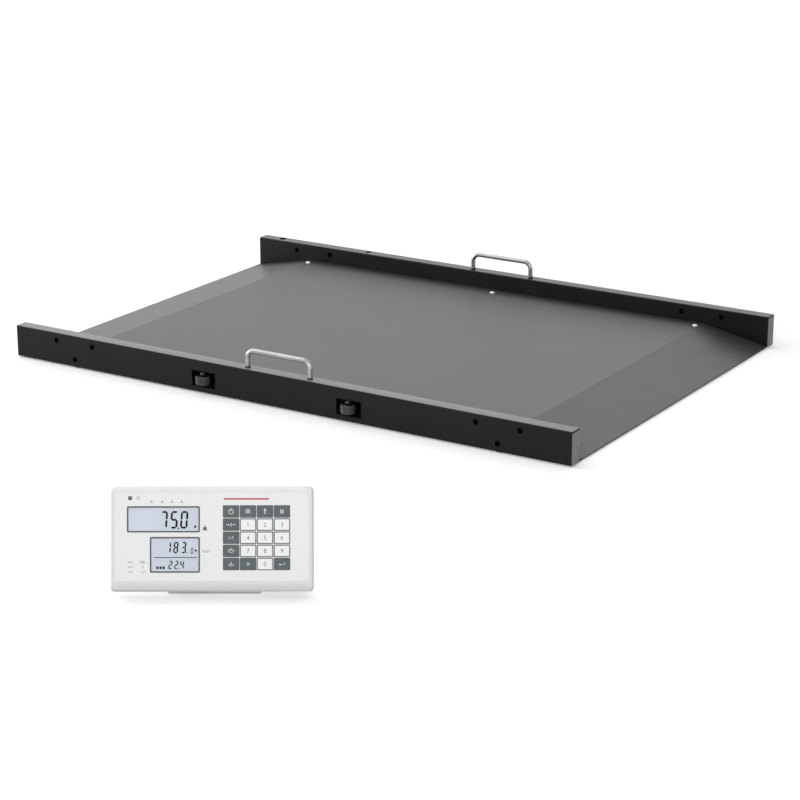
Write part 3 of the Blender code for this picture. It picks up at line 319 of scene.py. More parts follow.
@dataclass(frozen=True)
class RailCoat(Finish):
    """Powder coat of the rails, with painted light on the top and the end faces, and the seam above
    the end faces.

    Attributes:
        lit_end_colour: Colour of the end faces, painted lighter as light falling on them.
        lit_top_colour: Colour of the top, painted lighter in streaks as light falling on it.
        seam_colour: Colour of the seam.
        top_place: Height of the top.
        end_place: How far from the middle an end face lies.
        seam_height: Height of the seam.
        seam_width: Width of the seam.
    """

    edge: Colour = grey(0.05)
    lit_end_colour: Colour = grey(0.245)
    lit_top_colour: Colour = grey(0.05)
    seam_colour: Colour = grey(0.006)
    top_place: float = 0.0624
    end_place: float = 0.5985
    seam_height: float = 0.0608
    seam_width: float = 0.0005

    def draw(self, graph: Graph) -> None:
        """Lay the coat, then the painted light on the top and on the end faces, and the end faces'
        seams.

        Args:
            graph: Nodes of the material.
        """
        x, _, z = graph.axes()
        # Painted light: the end faces below the seam are lighter, and the top face is lighter in
        # faint streaks.
        at_end = graph.between(graph.maths("ABSOLUTE", x), self.end_place, self.end_place + 0.0008)
        from_seam = graph.maths("ABSOLUTE", graph.maths("SUBTRACT", z, self.seam_height))
        off_seam = graph.between(from_seam, self.seam_width, self.seam_width * 2)
        below = graph.maths("LESS_THAN", z, self.seam_height)
        top = (z, self.top_place, self.top_place + 0.0004)
        streaks = graph.between(graph.noise(0.05, 5.0, (0.12, 2.0, 1.0)), 0.30, 0.70, 0.72, 1.0)
        painted_top_light = graph.maths("MULTIPLY", graph.between(*top), streaks)
        plain = graph.mixed(painted_top_light, self.base(graph), self.lit_top_colour)
        ends = graph.mixed(graph.maths("MULTIPLY", at_end, below), plain, self.lit_end_colour)
        seams = graph.maths("MULTIPLY", at_end, graph.maths("SUBTRACT", 1.0, off_seam))
        polish = graph.between(*top, 1.0, 0.75)
        graph.set(Base_Color=graph.mixed(seams, ends, self.seam_colour),
                  Roughness=graph.maths("MULTIPLY", self.sheen(graph), polish))
        self.press(graph)


@dataclass(frozen=True)
class DeckCoat(Finish):
    """Fine sanded coat of the deck, with faint tyre marks, dust, and painted shade along the rails.

    Attributes:
        dust: Colour of the dust.
        middle: Place of the deck's middle line.
        shade_start: How far from that line the painted shade starts on the near side.
        far_shade_start: How far from that line it starts on the far side.
        ramp_shade_start: How far from that line it starts there at the right ramp's foot.
        reach: How far from that line the deck ends.
        ramp_start: How far from the middle the painted shade starts to widen.
        ramp_full: How far from the middle it is widest.
    """

    dust: Colour = (0.20, 0.20, 0.19)
    middle: float = 0.42224
    shade_start: float = 0.366
    far_shade_start: float = 0.338
    ramp_shade_start: float = 0.222
    reach: float = 0.386
    ramp_start: float = 0.440
    ramp_full: float = 0.560

    def draw(self, graph: Graph) -> None:
        """Lay the sand, the marks that wheels leave, the dust and the painted shade along the
        rails.

        Args:
            graph: Nodes of the material.
        """
        sand = graph.noise(0.0011, 2.0)
        sandy = graph.mixed(graph.between(sand, 0.35, 0.65), self.shade(-0.16), self.shade(0.16))
        marks = graph.between(graph.noise(0.30, 4.0, (0.25, 2.4, 1.0)), 0.56, 0.80, 0.0, 0.07)
        marked = graph.mixed(marks, sandy, self.shade(-0.35))
        dust = graph.between(graph.noise(0.22, 4.0), 0.45, 0.85, 0.0, 0.03)
        # Painted shade: the deck darkens towards the rails, and on the far side the dark band
        # widens towards the right ramp.
        x, y, _ = graph.axes()
        aside = graph.maths("ABSOLUTE", graph.maths("SUBTRACT", y, self.middle))
        wider = graph.between(x, self.ramp_start, self.ramp_full,
                              self.shade_start - self.far_shade_start, self.shade_start - self.ramp_shade_start)
        far_side = graph.maths("GREATER_THAN", y, self.middle)
        shade_start = graph.maths("SUBTRACT", self.shade_start, graph.maths("MULTIPLY", wider, far_side))
        painted_shade = graph.between(aside, shade_start, self.reach, 0.0, 0.92)
        dusty = graph.mixed(dust, marked, self.dust)
        graph.set(Base_Color=graph.mixed(painted_shade, dusty, self.shade(-0.8)),
                  Roughness=graph.between(graph.noise(0.05, 5.0, (0.3, 1.6, 1.0)), 0.25, 0.75,
                                          self.roughness * 0.97, self.roughness * 1.04))
        graph.bump((sand, self.depth))


@dataclass(frozen=True)
class BrushedMetal(Finish):
    """Bare metal with fine lines along one axis.

    Attributes:
        lines: Factor on each axis by which the lines are squeezed.
    """

    lines: Point = (0.04, 1.0, 1.0)

    def draw(self, graph: Graph) -> None:
        """Lay the brushed lines.

        Args:
            graph: Nodes of the material.
        """
        lines = graph.noise(self.grain, 3.0, self.lines)
        spots = graph.between(graph.noise(self.patch, 5.0), 0.3, 0.7)
        graph.set(Base_Color=graph.mixed(spots, self.shade(-self.tint), self.colour),
                  Roughness=graph.between(lines, 0.25, 0.75, self.roughness * 0.75,
                                          self.roughness * 1.25))
        graph.bump((lines, self.depth))


@dataclass(frozen=True)
class Rubber(Finish):
    """Dull rubber with a bloom of dust."""

    def draw(self, graph: Graph) -> None:
        """Lay the bloom over the plain rubber.

        Args:
            graph: Nodes of the material.
        """
        bloom = graph.between(graph.noise(0.008, 6.0), 0.45, 0.75, 0.0, 0.5)
        graph.set(Base_Color=graph.mixed(bloom, self.colour, self.shade(0.9)),
                  Roughness=graph.between(graph.noise(0.004, 4.0), 0.3, 0.7,
                                          self.roughness * 0.9, 0.95))
        graph.bump((graph.noise(self.grain, 3.0), self.depth))


@dataclass(frozen=True)
class Crystal(Finish):
    """Glossy front of a liquid crystal display, with the faint grid of its cells."""

    def draw(self, graph: Graph) -> None:
        """Lay the clouds and the grid under a glossy surface.

        Args:
            graph: Nodes of the material.
        """
        clouds = graph.between(graph.noise(0.05, 3.0), 0.3, 0.7)
        graph.set(Base_Color=graph.mixed(clouds, self.shade(-0.04), self.shade(0.05)),
                  Roughness=graph.between(graph.noise(0.01, 4.0), 0.3, 0.7, 0.14, 0.22),
                  Coat_Weight=0.25, Coat_Roughness=0.05)
        graph.bump((graph.noise(self.grain, 2.0), self.depth))


# Lit and shaded copies of one powder coat: the far rail is painted darker as shade, and the near
# rail's top is painted much lighter than the far rail's as light.
LIT_NEAR_COAT = RailCoat("near_rail_coat_lit", (0.0115, 0.0117, 0.0119), 0.36, gloss=0.17,
                     lit_top_colour=grey(0.222))
SHADED_FAR_COAT = RailCoat("far_rail_coat_shaded", (0.0095, 0.0097, 0.0099), 0.36, gloss=0.18,
                    lit_top_colour=grey(0.03))
WHITE_COAT = Finish("white_coat", (0.74, 0.75, 0.75), 0.45, tint=0.02, edge=(0.60, 0.60, 0.59),
                    rub=0.2)
FRAME_COAT = Finish("frame_coat", (0.020, 0.020, 0.021), 0.45, edge=grey(0.09))
DECK_COAT = DeckCoat("deck_coat", (0.150, 0.151, 0.152), 0.40, gloss=0.08, grain=0.0011,
                     depth=0.00003)
STEEL = BrushedMetal("stainless_steel", grey(0.49), 0.27, 0.97, tint=0.15, patch=0.02,
                     grain=0.0006, depth=0.000004)
SCREW_STEEL = BrushedMetal("zinc_plated_steel", (0.78, 0.78, 0.77), 0.28, 1.0, patch=0.004,
                           grain=0.0004, depth=0.000004, lines=(1.0, 1.0, 1.0))
DARK_STEEL = Finish("blackened_steel", grey(0.0012), 0.60, gloss=0.02, grain=0.0005,
                    patch=0.004, depth=0.00001, edge=grey(0.003), rub=0.1)
AXLE_STEEL = Finish("axle_steel", (0.034, 0.035, 0.036), 0.45, grain=0.0005, patch=0.004,
                    depth=0.00001)
FORK_COAT = Finish("fork_coat", grey(0.003), 0.8, gloss=0.02, edge=grey(0.006))
MILLED = BrushedMetal("milled_aluminium", (0.72, 0.73, 0.74), 0.32, 1.0, tint=0.10, patch=0.02,
                      grain=0.0005, depth=0.000006)
FOOT_RUBBER = Rubber("foot_rubber", (0.045, 0.046, 0.048), 0.75, grain=0.0006, depth=0.00003)
WHEEL_RUBBER = Rubber("wheel_rubber", (0.047, 0.0475, 0.048), 0.42, grain=0.0006, depth=0.00003)
PLUG_BLACK = Finish("plug_black", grey(0.003), 0.95, gloss=0.0, grain=0.0004, patch=0.01,
                    depth=0.00001, edge=grey(0.01))
BLACK_MOULDED = Finish("black_moulded", (0.014, 0.014, 0.015), 0.48, grain=0.0004, patch=0.02,
                       depth=0.00001, edge=grey(0.04))
WHITE_MOULDED = Finish("white_moulded", (0.78, 0.785, 0.79), 0.42, tint=0.012, patch=0.04,
                       grain=0.0005, depth=0.00001, edge=(0.70, 0.70, 0.69), rub=0.2)
LABEL_FILM = Finish("label_film", (0.83, 0.84, 0.84), 0.50, tint=0.008, patch=0.05,
                    grain=0.0003, depth=0.000006, edge=(0.74, 0.75, 0.75), rub=0.1)
KEY_LIGHT = Finish("key_light", (0.86, 0.87, 0.87), 0.45, tint=0.01, patch=0.01,
                   grain=0.0003, depth=0.000006, edge=grey(0.5), rub=0.1)
KEY_DARK = Finish("key_dark", (0.072, 0.092, 0.097), 0.45, tint=0.05, patch=0.01,
                  grain=0.0003, depth=0.000006, edge=(0.16, 0.18, 0.19), rub=0.3)
BEZEL = Finish("bezel", (0.066, 0.075, 0.080), 0.40, tint=0.05, patch=0.01, grain=0.0003,
               depth=0.000005, edge=(0.12, 0.13, 0.14), rub=0.2)
CRYSTAL = Crystal("display_crystal", (0.52, 0.57, 0.66), 0.18, grain=0.0004, depth=0.000003)
SEGMENT = Finish("display_segment", (0.006, 0.007, 0.010), 0.5, gloss=0.08, tint=0.1,
                 patch=0.004, grain=0.0003, depth=0.000002)
GREY_INK, WHITE_INK, RED_INK = (
    Finish(name, colour, roughness, tint=tint, patch=0.004, grain=0.0002, depth=0.000002)
    for name, colour, roughness, tint in (("grey_ink", (0.13, 0.13, 0.135), 0.5, 0.1),
                                          ("white_ink", (0.80, 0.82, 0.82), 0.5, 0.02),
                                          ("red_ink", (0.42, 0.022, 0.028), 0.45, 0.06)))
BOARD = Finish("board_green", (0.012, 0.10, 0.035), 0.35, tint=0.25, patch=0.004, grain=0.0008)
PACK_SLEEVE = Finish("pack_sleeve", (0.03, 0.07, 0.24), 0.30, tint=0.1, patch=0.01, grain=0.001)
LENS = Finish("light_lens", (0.22, 0.20, 0.20), 0.15, tint=0.1, patch=0.002, grain=0.0003,
              depth=0.000002)


def points_in(parts: Iterable[object]) -> list[bmesh.types.BMVert]:
    """The points among an operator's results."""
    return [part for part in parts if isinstance(part, bmesh.types.BMVert)]


def edges_in(parts: Iterable[object]) -> Ring:
    """The edges among an operator's results."""
    return [part for part in parts if isinstance(part, bmesh.types.BMEdge)]


def points_of(edges: Ring) -> list[bmesh.types.BMVert]:
    """The points at the ends of edges."""
    return list({vert for edge in edges for vert in edge.verts})


def dome(radius: float, base: float, rise: float, steps: int) -> list[Spot]:
    """Profile of a dome, from just above its rim to its top."""
    turns = [QUARTER * step / steps for step in range(1, steps + 1)]
    return [(radius * math.cos(turn), base + rise * math.sin(turn)) for turn in turns]


def centre(node: str) -> Point:
    """Middle of a CAD node's box."""
    low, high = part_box(node)
    return tuple((bottom + top) / 2 for bottom, top in zip(low, high))


class Shape:
    """A mesh in the making, shaped with bmesh operators."""

    def __init__(self) -> None:
        """Start empty."""
        self.bm = bmesh.new()

    def block(self, low: Sequence[float], high: Sequence[float]) -> "Shape":
        """Add a box.

        Args:
            low: Its lowest corner.
            high: Its highest corner.

        Returns:
            The shape itself.
        """
        size = [top - bottom for bottom, top in zip(low, high)]
        middle = [(top + bottom) / 2 for bottom, top in zip(low, high)]
        place = Matrix.Translation(middle) @ Matrix.Diagonal((*size, 1.0))
        bmesh.ops.create_cube(self.bm, size=1.0, matrix=place)
        return self

    def turned(self, profile: Outline, place: Matrix | None = None, sides: int = FINE) -> "Shape":
        """Add a profile turned about Z.

        Args:
            profile: Radius and height of each point, from one end of the axis to the other.
            place: Where the turned shape goes.
            sides: Facets round the axis.

        Returns:
            The shape itself.
        """
        made = bmesh.new()
        verts = [made.verts.new((radius, 0.0, height)) for radius, height in profile]
        edges = [made.edges.new(pair) for pair in zip(verts, verts[1:])]
        bmesh.ops.spin(made, geom=verts + edges, cent=(0, 0, 0), axis=(0, 0, 1),
                       angle=2 * math.pi, steps=sides, use_merge=True)
        bmesh.ops.remove_doubles(made, verts=made.verts, dist=CLOSE)
        bmesh.ops.recalc_face_normals(made, faces=made.faces)
        bmesh.ops.transform(made, matrix=place or Matrix.Identity(4), verts=made.verts)
        return self.take(made)

    def prism(self, outline: Outline, low: float, high: float) -> "Shape":
        """Add an outline drawn out along Y.

        Args:
            outline: Points across X and Z.
            low: Where it starts.
            high: Where it ends.

        Returns:
            The shape itself.
        """
        made = bmesh.new()
        face = made.faces.new([made.verts.new((across, low, up)) for across, up in outline])
        ends = points_in(bmesh.ops.extrude_face_region(made, geom=[face])["geom"])
        bmesh.ops.translate(made, verts=ends, vec=(0.0, high - low, 0.0))
        bmesh.ops.recalc_face_normals(made, faces=made.faces)
        return self.take(made)

    def take(self, other: Mesh) -> "Shape":
        """Add another mesh and free it.

        Args:
            other: The other mesh.

        Returns:
            The shape itself.
        """
        held = bpy.data.meshes.new("held")
        other.to_mesh(held)
        other.free()
        self.bm.from_mesh(held)
        bpy.data.meshes.remove(held)
        return self

    def flattened(self) -> "Shape":
        """Make flat faces whole.

        Returns:
            The shape itself.
        """
        bmesh.ops.dissolve_limit(self.bm, angle_limit=FLAT, verts=self.bm.verts,
                                 edges=self.bm.edges)
        return self

    def node(self, name: str) -> "Shape":
        """Add a merged copy of a CAD node, with its flat faces made whole.

        Args:
            name: The node.

        Returns:
            The shape itself.
        """
        self.bm.from_mesh(frame["nodes"][name].data)
        bmesh.ops.remove_doubles(self.bm, verts=self.bm.verts, dist=CLOSE)
        return self.flattened()

    def carved(self, tool: "Shape") -> "Shape":
        """Cut another shape out of this one.

        Args:
            tool: The other shape.

        Returns:
            The shape itself.
        """
        pair = []
        for shape in (self, tool):
            bmesh.ops.recalc_face_normals(shape.bm, faces=shape.bm.faces)
            mesh = bpy.data.meshes.new("held")
            shape.bm.to_mesh(mesh)
            pair.append(placed("held", mesh))
        modifier = pair[0].modifiers.new("cut", "BOOLEAN")
        modifier.solver = "EXACT"
        modifier.object = pair[1]
        self.bm.clear()
        self.bm.from_object(pair[0], bpy.context.evaluated_depsgraph_get())
        for held in pair:
            bpy.data.meshes.remove(held.data)
        return self.flattened()

    def softened(self, width: float, segments: int = 2) -> "Shape":
        """Round the sharp edges and mark the rounded faces as edges.

        Args:
            width: Width of the rounding.
            segments: Facets across it.

        Returns:
            The shape itself.
        """
        layers = self.bm.faces.layers.float
        layer = layers.get("edge") or layers.new("edge")
        sharp = [edge for edge in self.bm.edges
                 if edge.is_manifold and edge.calc_face_angle(0.0) > ROUNDED_ANGLE]
        made = bmesh.ops.bevel(self.bm, geom=sharp, offset=width, segments=segments,
                               affect="EDGES", profile=0.5, material=-1, clamp_overlap=True)
        for face in made["faces"]:
            face[layer] = 1.0
        return self

    def moved(self, place: Matrix) -> "Shape":
        """Move the whole shape by a matrix."""
        bmesh.ops.transform(self.bm, matrix=place, verts=self.bm.verts)
        return self

    def piece(self, name: str, finish: Finish, body: str, slot: str, *stands_for: str,
              more: Sequence[Finish] = (), smooth: bool = True) -> None:
        """Finish the shape as a piece of the object.

        Args:
            name: Name of the piece.
            finish: Its finish.
            body: CAD body that it rides on.
            slot: Material slot of the record; not used.
            *stands_for: CAD nodes that it replaces.
            more: Finishes of the further material indices.
            smooth: Whether its round faces are shaded smooth.
        """
        mesh = bpy.data.meshes.new(name)
        self.bm.to_mesh(mesh)
        self.bm.free()
        made = placed(name, mesh)
        for one in (finish, *more):
            mesh.materials.append(one.material())
        if smooth:
            mesh.shade_smooth()
            mesh.set_sharp_from_angle(angle=SHARP)
            weigh = made.modifiers.new("flat faces stay flat", "WEIGHTED_NORMAL")
            weigh.keep_sharp = True
        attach(made, body)
        if stands_for:
            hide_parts(*stands_for)
        LOG.info("made %s on %s", name, body)


def placed(name: str, data: bpy.types.ID) -> bpy.types.Object:
    """Put data into the scene.

    Args:
        name: Name of the object.
        data: Its data.

    Returns:
        The object.
    """
    made = bpy.data.objects.new(name, data)
    bpy.context.scene.collection.objects.link(made)
    return made


def dressed(node: str, finish: Finish) -> None:
    """Give a CAD node that stays as it is its finish.

    Args:
        node: The node.
        finish: Its finish.
    """
    mesh = frame["nodes"][node].data
    mesh.materials.clear()
    mesh.materials.append(finish.material())
    LOG.info("dressed %s", node)


def softened_node(node: str, finish: Finish, slot: str, body: str, width: float) -> None:
    """Replace a CAD node on a body with a copy whose edges are rounded by a width."""
    Shape().node(node).softened(width).piece(f"{node}_shell", finish, body, slot, node)


def shrunk(sides: Sides, gap: float) -> Sides:
    """Sides of a rectangle, moved inwards by a gap."""
    left, right, low, high = sides
    return left + gap, right - gap, low + gap, high - gap


def rounded(sides: Sides, radius: float, steps: int = 6) -> list[Spot]:
    """Round the corners of a rectangle.

    Args:
        sides: Sides of the rectangle.
        radius: Radius of the corners.
        steps: Facets in each corner.

    Returns:
        The points of its outline.
    """
    left, right, low, high = sides
    points = []
    for x, z, across, up, quarter in ((left, low, 1, 1, 2), (right, low, -1, 1, 3),
                                      (right, high, -1, -1, 0), (left, high, 1, -1, 1)):
        for step in range(steps + 1):
            angle = QUARTER * (quarter + step / steps)
            points.append((x + across * radius + radius * math.cos(angle),
                           z + up * radius + radius * math.sin(angle)))
    return points


@dataclass
class Screw:
    """Cap screw with a round recess, sunk in a hole behind a thin flange.

    Attributes:
        radius: Radius of the head.
        flange: Radius of the flange.
        proud: How far the flange stands out.
        sunk: Depth of the head's face.
        recess: Radius of the recess.
        depth: Depth of the recess.
        sides: Facets round the axis.
    """

    radius: float = 0.0042
    flange: float = 0.0053
    proud: float = 0.0003
    sunk: float = 0.0006
    recess: float = 0.0021
    depth: float = 0.0014
    sides: int = 30

    def add(self, shape: Shape, place: Matrix) -> None:
        """Add the screw to a shape.

        Args:
            shape: The shape.
            place: Place of its face, with +Z out of the wall.
        """
        foot = -self.sunk - self.depth - 0.0006
        neck = self.flange - 0.0011
        shape.turned(((0.0, foot), (neck, foot), (neck, 0.00002), (self.flange, 0.00002),
                      (self.flange, self.proud * 0.6), (self.flange - 0.0003, self.proud),
                      (self.radius + 0.0003, self.proud), (self.radius, 0.0),
                      (self.radius, -self.sunk), (self.recess, -self.sunk)), place, self.sides)
        cup = bmesh.new()
        bmesh.ops.create_circle(cup, segments=self.sides, radius=self.recess)
        out = bmesh.ops.extrude_edge_only(cup, edges=cup.edges[:])["geom"]
        bmesh.ops.translate(cup, verts=points_in(out), vec=(0, 0, -self.depth))
        bmesh.ops.contextual_create(cup, geom=edges_in(out))
        bmesh.ops.recalc_face_normals(cup, faces=cup.faces)
        bmesh.ops.reverse_faces(cup, faces=cup.faces)
        face = place @ Matrix.Translation((0, 0, -self.sunk))
        bmesh.ops.transform(cup, matrix=face, verts=cup.verts)
        shape.take(cup)
        bmesh.ops.remove_doubles(shape.bm, verts=shape.bm.verts, dist=CLOSE)


@dataclass
class Rail:
    """One side rail with its screws and its handle.

    Attributes:
        side: Name of the rail's side.
        way: Minus one on the near side, one on the far side.
        coat: Finish of the rail.
        cell_place: Place of a load cell from the rail's middle.
        screw_pitch: Distance between a load cell's two upper screws.
        screw_rise: Height of the upper screws above the rail's lower edge.
        low_rise: Height of the lower screws.
        end_screw: Profile of a screw in the rail's end.
    """

    side: str
    way: int
    coat: RailCoat
    cell_place: float = 0.4578
    screw_pitch: float = 0.0856
    screw_rise: float = 0.045
    low_rise: float = 0.014
    end_screw: Outline = ((0.0, -0.006), (0.0018, -0.006), (0.0018, -0.0034), (0.0015, -0.0032),
                          (0.0008, -0.0032), (0.0006, -0.0040), (0.0, -0.0040))

    def build(self) -> None:
        """Build the rail, the cap screws in its long faces and the small ones in its ends."""
        name = f"{self.side}_rail"
        softened_node(name, self.coat, "black_paint", "platform", 0.0004)
        low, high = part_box(name)
        shape, screw = Shape(), Screw()
        faces = ((low[1], Axis.NEAR), (high[1], Axis.FAR))
        for cell in (-self.cell_place, self.cell_place):
            for offset in (-self.screw_pitch / 2, self.screw_pitch / 2):
                for y, axis in faces:
                    screw.add(shape, axis.at(cell + offset, y, low[2] + self.screw_rise))
            y, axis = faces[self.way > 0]
            screw.add(shape, axis.at(cell, y, low[2] + self.low_rise))
        shape.piece(f"{name}_screws", DARK_STEEL, "platform", "black_paint")
        shape = Shape()
        for x, axis in ((low[0], Axis.LEFT), (high[0], Axis.RIGHT)):
            shape.turned(self.end_screw, axis.at(x, *centre(name)[1:]), 24)
        shape.piece(f"{name}_end_screws", DARK_STEEL, "platform", "black_paint")
        Handle(self.side).build()


@dataclass
class Handle:
    """Bent carrying handle with a dark washer under each leg.

    Attributes:
        side: Name of the rail's side.
        radius: Radius of the rod.
        bend: Radius of the bends' centre line.
        bore: Radius of the bore in each leg.
        bore_depth: Depth of that bore.
        washer: Profile of a washer, with its radii beyond the rod's.
    """

    side: str
    radius: float = 0.0045
    bend: float = 0.0145
    bore: float = 0.0028
    bore_depth: float = 0.012
    washer: Outline = ((0.00005, 0.0), (0.0008, 0.0), (0.0008, 0.0018), (0.0005, 0.0022),
                       (0.00005, 0.0022), (0.00005, 0.0))

    def build(self) -> None:
        """Build the rod and the washers."""
        name = f"{self.side}_handle"
        low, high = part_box(name)
        half = (high[0] - low[0]) / 2 - self.radius
        y = centre(name)[1]
        self.rod(half, y, low[2], high[2] - self.radius)
        washers = Shape()
        ring = [(self.radius + beyond, height) for beyond, height in self.washer]
        for x in (-half, half):
            washers.turned(ring, Matrix.Translation((x, y, low[2] - 0.0002)))
        washers.piece(f"{name}_washers", BLACK_MOULDED, "platform", "black_plastic")

    def rod(self, half: float, y: float, foot: float, top: float) -> None:
        """Draw a ring up one leg, round the bends and down the other leg.

        Args:
            half: Half the distance between the legs.
            y: Place of the handle across the platform.
            foot: Height of the legs' feet.
            top: Height of the bar's centre line.
        """
        shape = Shape()
        bm = shape.bm
        wide, rise, bar = self.radius / self.bore, top - self.bend - foot, half - self.bend
        bmesh.ops.create_circle(bm, segments=32, radius=self.bore,
                                matrix=Matrix.Translation((-half, y, foot + self.bore_depth)))
        bmesh.ops.contextual_create(bm, geom=bm.edges[:])
        ring = self.drawn(bm, bm.edges[:], -self.bore_depth)
        ring = self.widened(bm, ring, (-half, y, foot), wide)
        ring = self.drawn(bm, ring, rise)
        ring = self.bent(bm, ring, (-bar, y, foot + rise))
        ring = self.drawn(bm, ring, 0, 2 * bar)
        ring = self.bent(bm, ring, (bar, y, foot + rise))
        ring = self.drawn(bm, ring, -rise)
        ring = self.widened(bm, ring, (half, y, foot), 1 / wide)
        bmesh.ops.contextual_create(bm, geom=self.drawn(bm, ring, self.bore_depth))
        bmesh.ops.recalc_face_normals(bm, faces=bm.faces)
        shape.piece(f"{self.side}_handle_rod", STEEL, "platform", "bare_steel",
                    f"{self.side}_handle")

    @staticmethod
    def drawn(bm: Mesh, ring: Ring, up: float, along: float = 0.0) -> Ring:
        """Extrude a ring of edges.

        Args:
            bm: The mesh.
            ring: Edges of the open end.
            up: How far up.
            along: How far along the bar.

        Returns:
            Edges of the new open end.
        """
        out = bmesh.ops.extrude_edge_only(bm, edges=ring)["geom"]
        bmesh.ops.translate(bm, verts=points_in(out), vec=(along, 0, up))
        return edges_in(out)

    def widened(self, bm: Mesh, ring: Ring, middle: Point, factor: float) -> Ring:
        """Add a ring of another radius round the last one.

        Args:
            bm: The mesh.
            ring: Edges of the open end.
            middle: Middle of the leg.
            factor: Factor on the radius.

        Returns:
            Edges of the new open end.
        """
        ring = self.drawn(bm, ring, 0)
        bmesh.ops.scale(bm, verts=points_of(ring), vec=(factor, factor, 1),
                        space=Matrix.Translation(middle).inverted())
        return ring

    @staticmethod
    def bent(bm: Mesh, ring: Ring, middle: Point) -> Ring:
        """Spin a ring a quarter turn about a line along Y.

        Args:
            bm: The mesh.
            ring: Edges of the open end.
            middle: A point on the line.

        Returns:
            Edges of the new open end.
        """
        out = bmesh.ops.spin(bm, geom=points_of(ring) + ring, cent=middle, axis=(0, 1, 0),
                             angle=QUARTER, steps=14)
        return edges_in(out["geom_last"])


@dataclass
class Deck:
    """Deck plate with its frame and its screws.

    Attributes:
        head: Radius of a screw's head.
        rise: Height of the dome.
        rim: Height of the rim under it.
        shank: Radius of the shank.
        arm: Width of the cross recess's arms.
        recess: Depth of the recess.
    """

    head: float = 0.006
    rise: float = 0.0034
    rim: float = 0.0007
    shank: float = 0.0020
    arm: float = 0.0011
    recess: float = 0.0015

    def build(self) -> None:
        """Dress the plate and the frame, and build the screws."""
        dressed("deck_plate", DECK_COAT)
        dressed("deck_frame", FRAME_COAT)
        softened_node("junction_box", BLACK_MOULDED, "black_plastic", "platform", 0.0006)
        for number in range(1, 7):
            self.screw(f"deck_screw_{number}")

    def screw(self, node: str) -> None:
        """Build one domed screw with a cross recess.

        Args:
            node: CAD node of the screw.
        """
        low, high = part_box(node)
        x, y, _ = centre(node)
        base = high[2] - self.rise
        seat = base - self.rim
        profile = [(0.0, low[2]), (self.shank, low[2]), (self.shank, seat), (self.head, seat),
                   (self.head, seat + self.rim), *dome(self.head, base, self.rise, 8)]
        shape = Shape().turned(profile, Matrix.Translation((x, y, 0.0)))
        long, half = self.head * 0.55, self.arm / 2
        for across, along in ((long, half), (half, long)):
            shape.carved(Shape().block((x - across, y - along, high[2] - self.recess),
                                       (x + across, y + along, high[2] + 0.001)))
        shape.piece(f"{node}_head", SCREW_STEEL, "platform", "bare_steel", node)


@dataclass
class Foot:
    """Levelling foot with its ribbed pad and its threaded stem.

    Attributes:
        name: CAD node and body of the foot.
        pad: Radius of the pad.
        pad_height: Height of the pad.
        groove: Depth of the grooves between the ribs.
        groove_pitch: Distance between them.
        stem: Radius of the stem.
        pitch: Pitch of the thread.
    """

    name: str
    pad: float = 0.0105
    pad_height: float = 0.012
    groove: float = 0.0006
    groove_pitch: float = 0.0024
    stem: float = 0.004
    pitch: float = 0.00125

    def build(self) -> None:
        """Build the pad and the stem."""
        low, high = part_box(self.name)
        place = Matrix.Translation((*centre(self.name)[:2], low[2]))
        pad = [(0.0, 0.0004), (0.006, 0.0004), (0.0066, 0.0), (self.pad - 0.0012, 0.0),
               (self.pad, 0.0010)]
        for number in range(3):
            height = 0.0030 + number * self.groove_pitch
            pad += [(self.pad, height), (self.pad - self.groove, height + 0.0004),
                    (self.pad - self.groove, height + 0.0010), (self.pad, height + 0.0014)]
        pad += [(self.pad, self.pad_height - 0.0010), (self.pad - 0.0010, self.pad_height),
                (self.stem * 0.9, self.pad_height), (0.0, self.pad_height)]
        Shape().turned(pad, place).piece(f"{self.name}_pad", FOOT_RUBBER, self.name,
                                         "foot_rubber", self.name)
        top = high[2] - low[2]
        stem = [(0.0, self.pad_height - 0.001), (self.stem, self.pad_height - 0.001),
                (self.stem, self.pad_height)]
        for ring in range(int((top - self.pad_height - 0.002) / self.pitch)):
            height = self.pad_height + 0.001 + ring * self.pitch
            stem += [(self.stem, height), (self.stem - 0.0006, height + self.pitch / 2)]
        stem += [(self.stem - 0.0002, top - 0.001), (self.stem - 0.0010, top), (0.0, top)]
        Shape().turned(stem, place, 32).piece(f"{self.name}_stem", SCREW_STEEL, self.name,
                                              "bare_steel")


